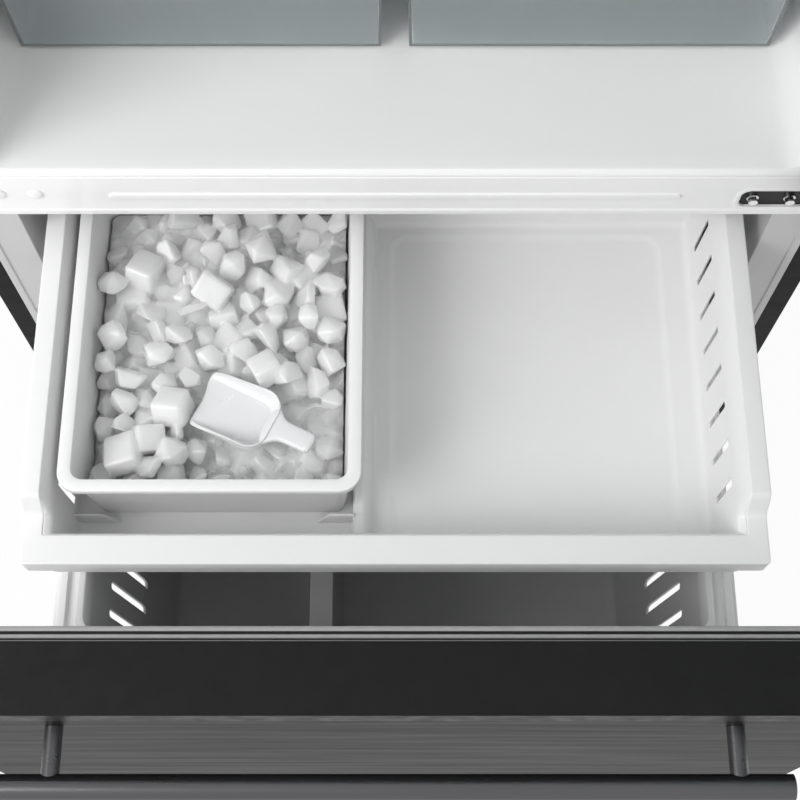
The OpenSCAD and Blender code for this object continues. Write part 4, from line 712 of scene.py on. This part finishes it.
def chunk_pattern():
    """Points and faces of one broken, half melted lump of ice."""
    b = bmesh.new()
    for _ in range(random.choice((11, 13, 16))):
        d = Vector((random.gauss(0, 1), random.gauss(0, 1), random.gauss(0, 1)))
        d /= max(abs(d.x), abs(d.y), abs(d.z)) ** 0.7 * d.length ** 0.3
        b.verts.new(d * 0.5 * random.uniform(0.92, 1.08))
    bmesh.ops.convex_hull(b, input=list(b.verts))
    bmesh.ops.delete(b, geom=[v for v in b.verts if not v.link_faces], context="VERTS")
    bmesh.ops.dissolve_limit(b, angle_limit=math.radians(16), verts=list(b.verts),
                             edges=list(b.edges))
    bmesh.ops.bevel(b, geom=list(b.edges), offset=0.055, segments=2, profile=0.5, affect="EDGES",
                    clamp_overlap=True)
    return pattern(b)


PATTERNS = [cube_pattern()] * 2 + [chunk_pattern() for _ in range(14)]


ICE_FLOOR = 489.0


def in_bin(p):
    """The point, or the nearest one that lies 1 mm inside the bin's walls and round corners."""
    t = min(1.0, max(0.0, (p.z - WALL_FOOT) / WALL_RISE))
    hx, hy = 105.8 + DRAFT_X * t, 134.2 + DRAFT_Y * t
    x, y = max(-hx, min(hx, p.x - BX)), max(-hy, min(hy, p.y - BY))
    ox, oy = abs(x) - (hx - BIN_CORNER), abs(y) - (hy - BIN_CORNER)
    if ox > 0 and oy > 0 and math.hypot(ox, oy) > BIN_CORNER:
        k = BIN_CORNER / math.hypot(ox, oy)
        x = math.copysign(hx - BIN_CORNER + ox * k, x)
        y = math.copysign(hy - BIN_CORNER + oy * k, y)
    return Vector((BX + x, BY + y, max(p.z, ICE_FLOOR)))


def ice_cube(bm, c, size, tilt, taper):
    """One piece of ice: tapered, turned at random, with slightly uneven faces."""
    rot = Euler((random.uniform(-tilt, tilt), random.uniform(-tilt, tilt), random.uniform(0, 6.28)))
    jig = [random.uniform(-0.06, 0.06) for _ in range(8)]
    points, faces = random.choice(PATTERNS)
    vs = []
    for p in points:
        k = (p.x > 0) + 2 * (p.y > 0) + 4 * (p.z > 0)
        s = 1 - taper * (p.z + 0.5)
        q = Vector((p.x * size[0] * s * (1 + jig[k]), p.y * size[1] * s * (1 - jig[k]),
                    p.z * size[2] * (1 + jig[7 - k])))
        q.rotate(rot)
        vs.append(bm.verts.new(in_bin(q + c)))
    for f in faces:
        bm.faces.new([vs[i] for i in f])


def bed_z(x, y):
    """Height of the packed ice that carries the loose pieces: a slope with soft lumps."""
    lump = (4.0 * math.sin(0.23 * x + 1.3 * math.sin(0.11 * y))
            * math.sin(0.21 * y + math.cos(0.17 * x)))
    return BED_TOP + HEAP_RISE * min(1.0, max(0.0, (y - HEAP_FROM) / HEAP_LENGTH)) + lump


bm = bmesh.new()
for i in range(PIECES):
    if P[i, 2] + R[i] < bed_z(P[i, 0], P[i, 1]):
        continue
    side = R[i] * 1.86
    size = [side * random.uniform(lo, hi) for lo, hi in ((0.85, 1.15), (0.85, 1.1), (0.62, 0.9))]
    tilt = 0.42 if P[i, 2] > 540 else 0.9
    ice_cube(bm, Vector(P[i]), size, tilt, random.uniform(0.02, 0.16))
# small bits between them
BITS = 70
for i in range(BITS):
    x = random.uniform(BX - SPREAD_X, BX + SPREAD_X)
    y = random.uniform(BY - SPREAD_Y, BY + SPREAD_Y)
    side = random.uniform(9, 16)
    z = bed_z(x, y) + 0.2 * side
    if not under_scoop(x, y, 84, 36):
        ice_cube(bm, Vector((x, y, z)), (side, side * 0.8, side * 0.6), 3.0, 0.3)

# the packed ice underneath, as a closed block whose top is a grid
NX, NY = 30, 38
top, low = [], []
for j in range(NY + 1):
    top.append([])
    low.append([])
    for i in range(NX + 1):
        fx, fy = i / NX * 2 - 1, j / NY * 2 - 1
        x, y = BX + 108.5 * fx, BY + 134 * fy
        top[j].append(bm.verts.new(in_bin(Vector((x, y, bed_z(x, y))))))
        low[j].append(bm.verts.new((BX + 95 * fx, BY + 120 * fy, ICE_FLOOR)))
for j in range(NY):
    for i in range(NX):
        bm.faces.new((top[j][i], top[j][i + 1], top[j + 1][i + 1], top[j + 1][i]))
        bm.faces.new((low[j][i], low[j + 1][i], low[j + 1][i + 1], low[j][i + 1]))
for i in range(NX):
    bm.faces.new((top[0][i], low[0][i], low[0][i + 1], top[0][i + 1]))
    bm.faces.new((top[NY][i], top[NY][i + 1], low[NY][i + 1], low[NY][i]))
for j in range(NY):
    bm.faces.new((top[j][0], top[j + 1][0], low[j + 1][0], low[j][0]))
    bm.faces.new((top[j][NX], low[j][NX], low[j + 1][NX], top[j + 1][NX]))
ice = add("ice_cubes_frozen", bm, "ice_bin", ["ice"], ["ice_cubes"])
# one closed surface, so that light spreads from piece to piece as in a frozen heap
join = ice.modifiers.new("join", "REMESH")
join.mode = "VOXEL"
join.voxel_size = 0.0011    # metres
apply_modifiers(ice)
# only the heap itself stays, not a crumb that touches nothing or a bubble inside
bm = bmesh.new()
bm.from_mesh(ice.data)
islands, seen = [], set()
for v in bm.verts:
    if v.index in seen:
        continue
    seen.add(v.index)
    isle = [v]
    for w in isle:
        for e in w.link_edges:
            o = e.other_vert(w)
            if o.index not in seen:
                seen.add(o.index)
                isle.append(o)
    islands.append(isle)
islands.sort(key=len)
for isle in islands[:-1]:
    bmesh.ops.delete(bm, geom=isle, context="VERTS")
bm.to_mesh(ice.data)
bm.free()
ice.data.shade_smooth()


# ---------------------------------------------------------------- ice scoop
def in_place(bm):
    """Moves what was drawn at the origin to where the scoop lies."""
    turn = Matrix.Rotation(SCOOP_TURN, 3, "Z")
    bmesh.ops.rotate(bm, cent=(0, 0, 0), matrix=turn, verts=bm.verts)
    bmesh.ops.translate(bm, vec=SCOOP_AT, verts=bm.verts)


def bowl_ring(g, z, r):
    """A ring of the scoop's bowl, drawn in by g from its rim."""
    return [(x, y, z) for x, y in rrect(-66 + g, 37 - g, -27.5 + g, 27.5 - g, r, 8)]


bm = bmesh.new()
rings = [bowl_ring(8.5, 1.6, 8)]
rings += [bowl_ring(9 - (a - 2.2), z, 14) for a, z in arc(2.2, 8, 6.4, -80, -8, 5)]
rings += [bowl_ring(*row) for row in
          ((1.3, 15.6, 15.5), (0.9, 16.8, 16), (0.5, 17, 16), (0, 16.6, 16.5), (0, 15.5, 16.5))]
rings += [bowl_ring(7.2 - a, z, 15) for a, z in arc(0, 7.2, 7.2, 0, -90, 6)]
rings += [bowl_ring(9, 0, 8)]
loft(bm, rings)
in_place(bm)
scoop = add("ice_scoop_shell", bm, "ice_scoop", ["scoop"], ["ice_scoop"])
# the curved mouth, and side walls that fall towards it
bm = bmesh.new()
rings = []
for k in range(17):
    v = -40 + 80 * k / 16
    c = 1.6 - 0.085 * v + 1.6 * math.cos(v / 9) * max(0.0, 1 - (v / 30) ** 2)
    rings.append([(-80, v, -10), (-37 + c, v, -10), (-36.4 + c, v, 0), (-33 + c * 0.9, v, 3.4),
                  (-14 + c * 0.4, v, 9.2), (6, v, 14.2), (22, v, 17.8), (24, v, 40), (-80, v, 40)])
loft(bm, rings)
in_place(bm)
cut(scoop, bm)
# the handle, with a waist: half width w, half thickness t and height z along it
bm = bmesh.new()
rings = []
for x, w, t, z in ((29, 10, 1.2, 9.5), (32, 16, 3.2, 10.6), (36, 17.5, 3.9, 12.0),
                   (39.5, 14.5, 4.0, 12.8), (43, 11.4, 4.1, 13.2), (47, 9.6, 4.1, 13.4),
                   (52, 9.1, 4.1, 13.4), (60, 9.1, 4.1, 13.3), (69, 9.1, 4.1, 13.2),
                   (72.2, 8.6, 4.0, 13.1), (74, 7.4, 3.5, 13.1), (74.9, 5.2, 2.2, 13.1)):
    rings.append([(x, math.copysign(w * abs(c) ** 0.45, c),
                   z - 0.5 + math.copysign(t * abs(s) ** 0.5, s)) for c, s in circle(0, 0, 1, 24)])
loft(bm, rings)
in_place(bm)
extend(scoop, bm)


# ---------------------------------------------------------------- lower basket
def basket_ring(h, y0, y1, z, r):
    """A ring of the basket, of half width h."""
    return [(x, y, z) for x, y in rrect(-h, h, y0, y1, r, 6)]


bm = bmesh.new()
# inside and rim, then outside
rings = [basket_ring(235, -609.5, -347.5, 130.5, 4)]
rings += [basket_ring(246 - 9 + a, -620.5 + 9 - a, -336.5 - 9 + a, z, 12) for a, z in
          arc(0, 139.5, 9, -88, 0, 6)]
rings += [basket_ring(*row) for row in
          ((251.8, -626.3, -331.0, 309.5, 12), (251.85, -626.35, -330.2, 312.5, 12),
           (251.9, -626.4, -328.4, 313.9, 12), (251.95, -626.45, -326, 314.3, 12),
           (252.0, -626.5, -243, 314.6, 12), (252.05, -626.5, -240, 315.2, 12),
           (252.3, -626.5, -238.5, 317.5, 12), (262, -628, -236.5, 384, 13),
           (271.6, -629.3, -234.8, 450, 14), (272.4, -629, -235, 454, 14),
           (274.4, -627, -235.5, 458, 14), (276.6, -624.8, -236, 461.2, 14),
           (277.3, -624.2, -236, 461.8, 14), (278.2, -623.6, -236, 462, 14),
           (298.8, -638.8, -221.2, 462, 12.8), (299.7, -639.7, -220.3, 461.6, 13.7),
           (300, -640, -220, 460.8, 14), (300, -640, -220, 456.3, 14),
           (299.4, -639.4, -220.6, 455.5, 13.4), (298.4, -638.4, -221.6, 455.3, 12.5),
           (278.6, -633.4, -230.6, 455.1, 16), (275.4, -632.2, -231.8, 454.4, 16),
           (274.2, -632, -232.2, 451, 16))]
rings += [basket_ring(*row) for row in
          ((255.3, -629.1, -236, 318, 14), (254.8, -629.1, -236.8, 314, 14),
           (254.65, -629.1, -239.5, 312.3, 14), (254.6, -629.05, -243, 311.9, 14),
           (254.55, -629, -325, 311.5, 14), (254.5, -629, -327.2, 310.8, 14),
           (254.4, -629, -328.2, 308, 14))]
rings += [basket_ring(248.5 - 11.5 + a, -623 + 11.5 - a, -334 - 11.5 + a, z, 13) for a, z in
          arc(0, 139.5, 11.5, 0, -88, 6)]
rings += [basket_ring(235, -609.5, -347.5, 128, 4)]
loft(bm, rings)
basket = add("lower_basket_shell", bm, "freezer_pullout", ["white_plastic"],
             ["lower_basket"])
# slots through the side walls, shorter over the step at the back, and a groove along each rim
SLOTS, SLOT_FIRST, SLOT_STEP, SLOT_WIDTH, SLOT_TOP = 13, 45.5, 26, 7, 405
half_groove = [(-5.7, 464), (-5.3, 461.9), (-4.75, 461.3), (-4.6, 460.4), (-4.6, 458.3),
               (-4.2, 457.6), (-3.4, 457.3)]
groove = half_groove + [(-a, z) for a, z in reversed(half_groove)]
bm = bmesh.new()
for side in (-1, 1):
    for i in range(SLOTS):
        o = SLOT_FIRST + SLOT_STEP * i
        h = 109 if o < 260.5 else 87
        loft(bm, [[(side * (252 + 20 * (z - 314.5) / 137.5 + off), y, z) for y, z in
                   slot_ring(-640 + o, SLOT_TOP - h / 2, SLOT_WIDTH, h, g)]
                  for off, g in ((-14, 0.6), (-0.4, 0.6), (0.6, 0), (12, 0))])
    loft(bm, [[(side * GROOVE_X + a, y, z) for a, z in groove] for y in (-628, -210)])
cut(basket, bm)

# ---------------------------------------------------------------- rail between the compartments
FACE_HALF = 361    # half width of the rail, the fridge liner's flange and the gaskets
bm = bmesh.new()
prof = [(-286, 690)] + arc(-298.0, 687.4, 2.6, 90, 180, 5)
prof += [(-300.6, 639.4), (-300.75, 638.6), (-301.4, 637.9), (-301.7, 637.3), (-301.7, 636.6)]
prof += arc(-300.1, 631.4, 1.6, 180, 270, 3)
prof += [(-286, 629.8), (-286, 631), (-299.4, 631), (-299.8, 631.5), (-299.8, 686.6)]
prof += arc(-298.0, 687.2, 1.8, 180, 90, 4)[1:] + [(-286, 689)]
loft(bm, [[(x, y, z) for y, z in prof] for x in (-FACE_HALF, FACE_HALF)])
rail = add("mullion_rail_sheet", bm, "cabinet", ["white_paint"], ["mullion_rail"])
# cut away: the lip's back at both ends, the hinge's recess and the plugs' holes
bm = bmesh.new()
for side in (-1, 1):
    lo, hi = sorted((side * 323.5, side * 380))
    bar(bm, (lo, -299.75, 620), (hi, -280, 640), 0)


def recess_ring(g, y, r=8.0):
    """The outline of the middle hinge's recess, grown by g."""
    return [(min(x, 360.9), y, z) for x, z in
            rrect(289.8 - g, 359.8 + g, 641 - g, 667 + g, r + g, 6)]


loft(bm, [recess_ring(1.0, y) for y in (-303, -299)])
PLUG_XS, PLUG_Z = (-300.3, -331.3), 663
for px in PLUG_XS:
    loft(bm, [[(x, y, z) for x, z in circle(px, PLUG_Z, 3.3, 24)] for y in (-303, -299)])
cut(rail, bm)
# the recess's raised edge and walls
bm = bmesh.new()
loops = loft(bm, [recess_ring(g, y) for g, y in
                  ((6.4, -300.3), (6.2, -300.65), (5.0, -300.8), (4.4, -301.1), (3.4, -301.25),
                   (2.2, -301.2), (1.4, -300.85), (0.6, -300.6), (0.1, -300.1), (0, -299.2),
                   (0, -296), (-0.4, -295.25), (-1.4, -295), (-2, -293.8), (0.9, -293.9),
                   (1.15, -294.4), (1.15, -300.2))],
             cap0=False, cap1=False)
join_rings(bm, loops[-1], loops[0])
extend(rail, bm)
# its floor
bm = bmesh.new()
loft(bm, [recess_ring(-1.2, -295.02, 7), recess_ring(-1.0, -293.85, 7)])


def pill_ring(g, y):
    """The outline of the long embossed pill, grown by g."""
    ends = arc(234.4, 660, 4.6 + g, -90, 90, 12) + arc(-234.4, 660, 4.6 + g, 90, 270, 12)
    return [(x, y, z) for x, z in ends]


loft(bm, [pill_ring(g, y) for g, y in
          ((1.3, -300.3), (1.3, -300.62), (0.6, -300.75), (0.05, -301.2), (-0.25, -301.7),
           (-0.8, -302.1), (-1.6, -302.2))])
extend(rail, bm)
# the two blanking plugs: low domes with a thin skirt and a stem, as radius and y
DOME = [(2.2, -297), (3.3, -297.6), (3.35, -300.2), (6.7, -300.45), (7.0, -300.75), (6.9, -301.2),
        (6.2, -301.75), (5.0, -302.3), (3.4, -302.75), (1.6, -302.95), (0.3, -303)]
bm = bmesh.new()
for px in PLUG_XS:
    loft(bm, [[(x, y, z) for x, z in circle(px, PLUG_Z, r, 32)] for r, y in DOME])
add("mullion_plug_domes", bm, "cabinet", ["white_plastic"], ["mullion_plugs"])


# ---------------------------------------------------------------- fridge liner
def liner_ring(h, z0, z1, y, r):
    """A standing ring of the liner, of half width h."""
    return [(x, y, z) for x, z in rrect(-h, h, z0, z1, r, 8)]


bm = bmesh.new()
# inside, from the back wall to the front
rings = [liner_ring(296, 737, 1590, 240, 4)]
rings += [liner_ring(336 - 30 + a, 697 + 30 - a, 1630 - 30 + a, y, 30) for a, y in
          arc(0, 210, 30, 88, 0, 7)]
rings += [liner_ring(336, 697, 1630, -285, 24)]
rings += [liner_ring(336 + d, 697 - d, 1630 + d, y, 22 - 2 * d) for d, y in
          ((0, -296.2), (0.1, -296.75), (0.5, -297.3), (5.2, -299.7), (5.6, -299.9),
           (6.1, -299.98))]
# the flange round the front, then the outside
rings += [liner_ring(*row) for row in
          ((342.5, 691.3, 1637, -300, 9), (359.6, 690.2, 1666.6, -300, 1.2),
           (360.7, 690.05, 1667.7, -299.85, 1.3), (361, 690, 1668, -299.4, 1.5),
           (361, 690, 1668, -298.3, 1.5), (360.5, 690.3, 1667.5, -298, 1.2),
           (343.6, 692.9, 1638, -298, 12), (339.5, 694.2, 1633.8, -296.6, 18),
           (338, 695, 1632, -293, 23), (338, 695, 1632, 210, 31))]
rings += [liner_ring(338 - 32 + a, 695 + 32 - a, 1632 - 32 + a, y, 31) for a, y in
          arc(0, 210, 32, 20, 88, 5)]
rings += [liner_ring(296, 737, 1590, 242, 4)]
loft(bm, rings)
# a raised band along the flange's sides and top
for side in (-1, 1):
    lo, hi = sorted((side * 353.5, side * FACE_HALF))
    bar(bm, (lo, -301.5, 690.1), (hi, -299, 1668), 0.7, 3)
bar(bm, (-353.8, -301.5, 1660.5), (353.8, -299, 1668), 0.7, 3)
add("fridge_liner_shell", bm, "cabinet", ["liner"], ["fridge_liner"])

# ---------------------------------------------------------------- door gaskets
# half of the seal's section, as the distance in from its edge and towards the door, and those of
# its faces in the folds that are painted near-black, as painted shade
SEAL = [(1.2, 0), (0.4, 0.35), (0, 1.0), (0, 3.1), (0.4, 3.7), (1.2, 4.0), (3.4, 4.1), (3.4, 5.9),
        (1.5, 6.0), (0.7, 6.5), (0.45, 7.5), (0.7, 8.7), (1.5, 9.3), (3.0, 9.35), (3.0, 10.5),
        (1.0, 10.6), (0.5, 11.0), (0.5, 12.2)]
SHADED_FOLDS = {5, 6, 7, 12, 13, 14}
SEAL_WIDTH = 18
SWING_AXIS = (363, -335, 0)


def gasket(name, z0, z1, y_seal, body, node, turn=0):
    """A door's gasket, drawn facing the cabinet's front and turned about the hinge by turn."""
    bm = bmesh.new()
    prof = SEAL + [(SEAL_WIDTH - d, y) for d, y in reversed(SEAL)]
    dark = SHADED_FOLDS | {len(prof) - 2 - k for k in SHADED_FOLDS}
    loops = []
    for d, y in prof:
        loops.append([bm.verts.new((x, y_seal - y, z)) for x, z in
                      rrect(-FACE_HALF + d, FACE_HALF - d, z0 + d, z1 - d, 22 - d, 8)])
    for k, a in enumerate(loops):
        for f in join_rings(bm, a, loops[(k + 1) % len(loops)]):
            # the faces in the folds take the near-black painted shade
            f.material_index = 1 if k in dark else 0
    if turn:
        bmesh.ops.rotate(bm, cent=SWING_AXIS, matrix=Matrix.Rotation(math.radians(turn), 3, "Z"),
                         verts=bm.verts)
    add(name, bm, body, ["gasket", "gasket_painted_shade"], [node])


gasket("freezer_door_gasket_ring", z0=78, z1=649, y_seal=-661.8, body="freezer_pullout",
       node="freezer_door_gasket")
gasket("fridge_door_gasket_ring", z0=673, z1=1668, y_seal=-301.8, body="fridge_door",
       node="fridge_door_gasket", turn=130)

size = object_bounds()
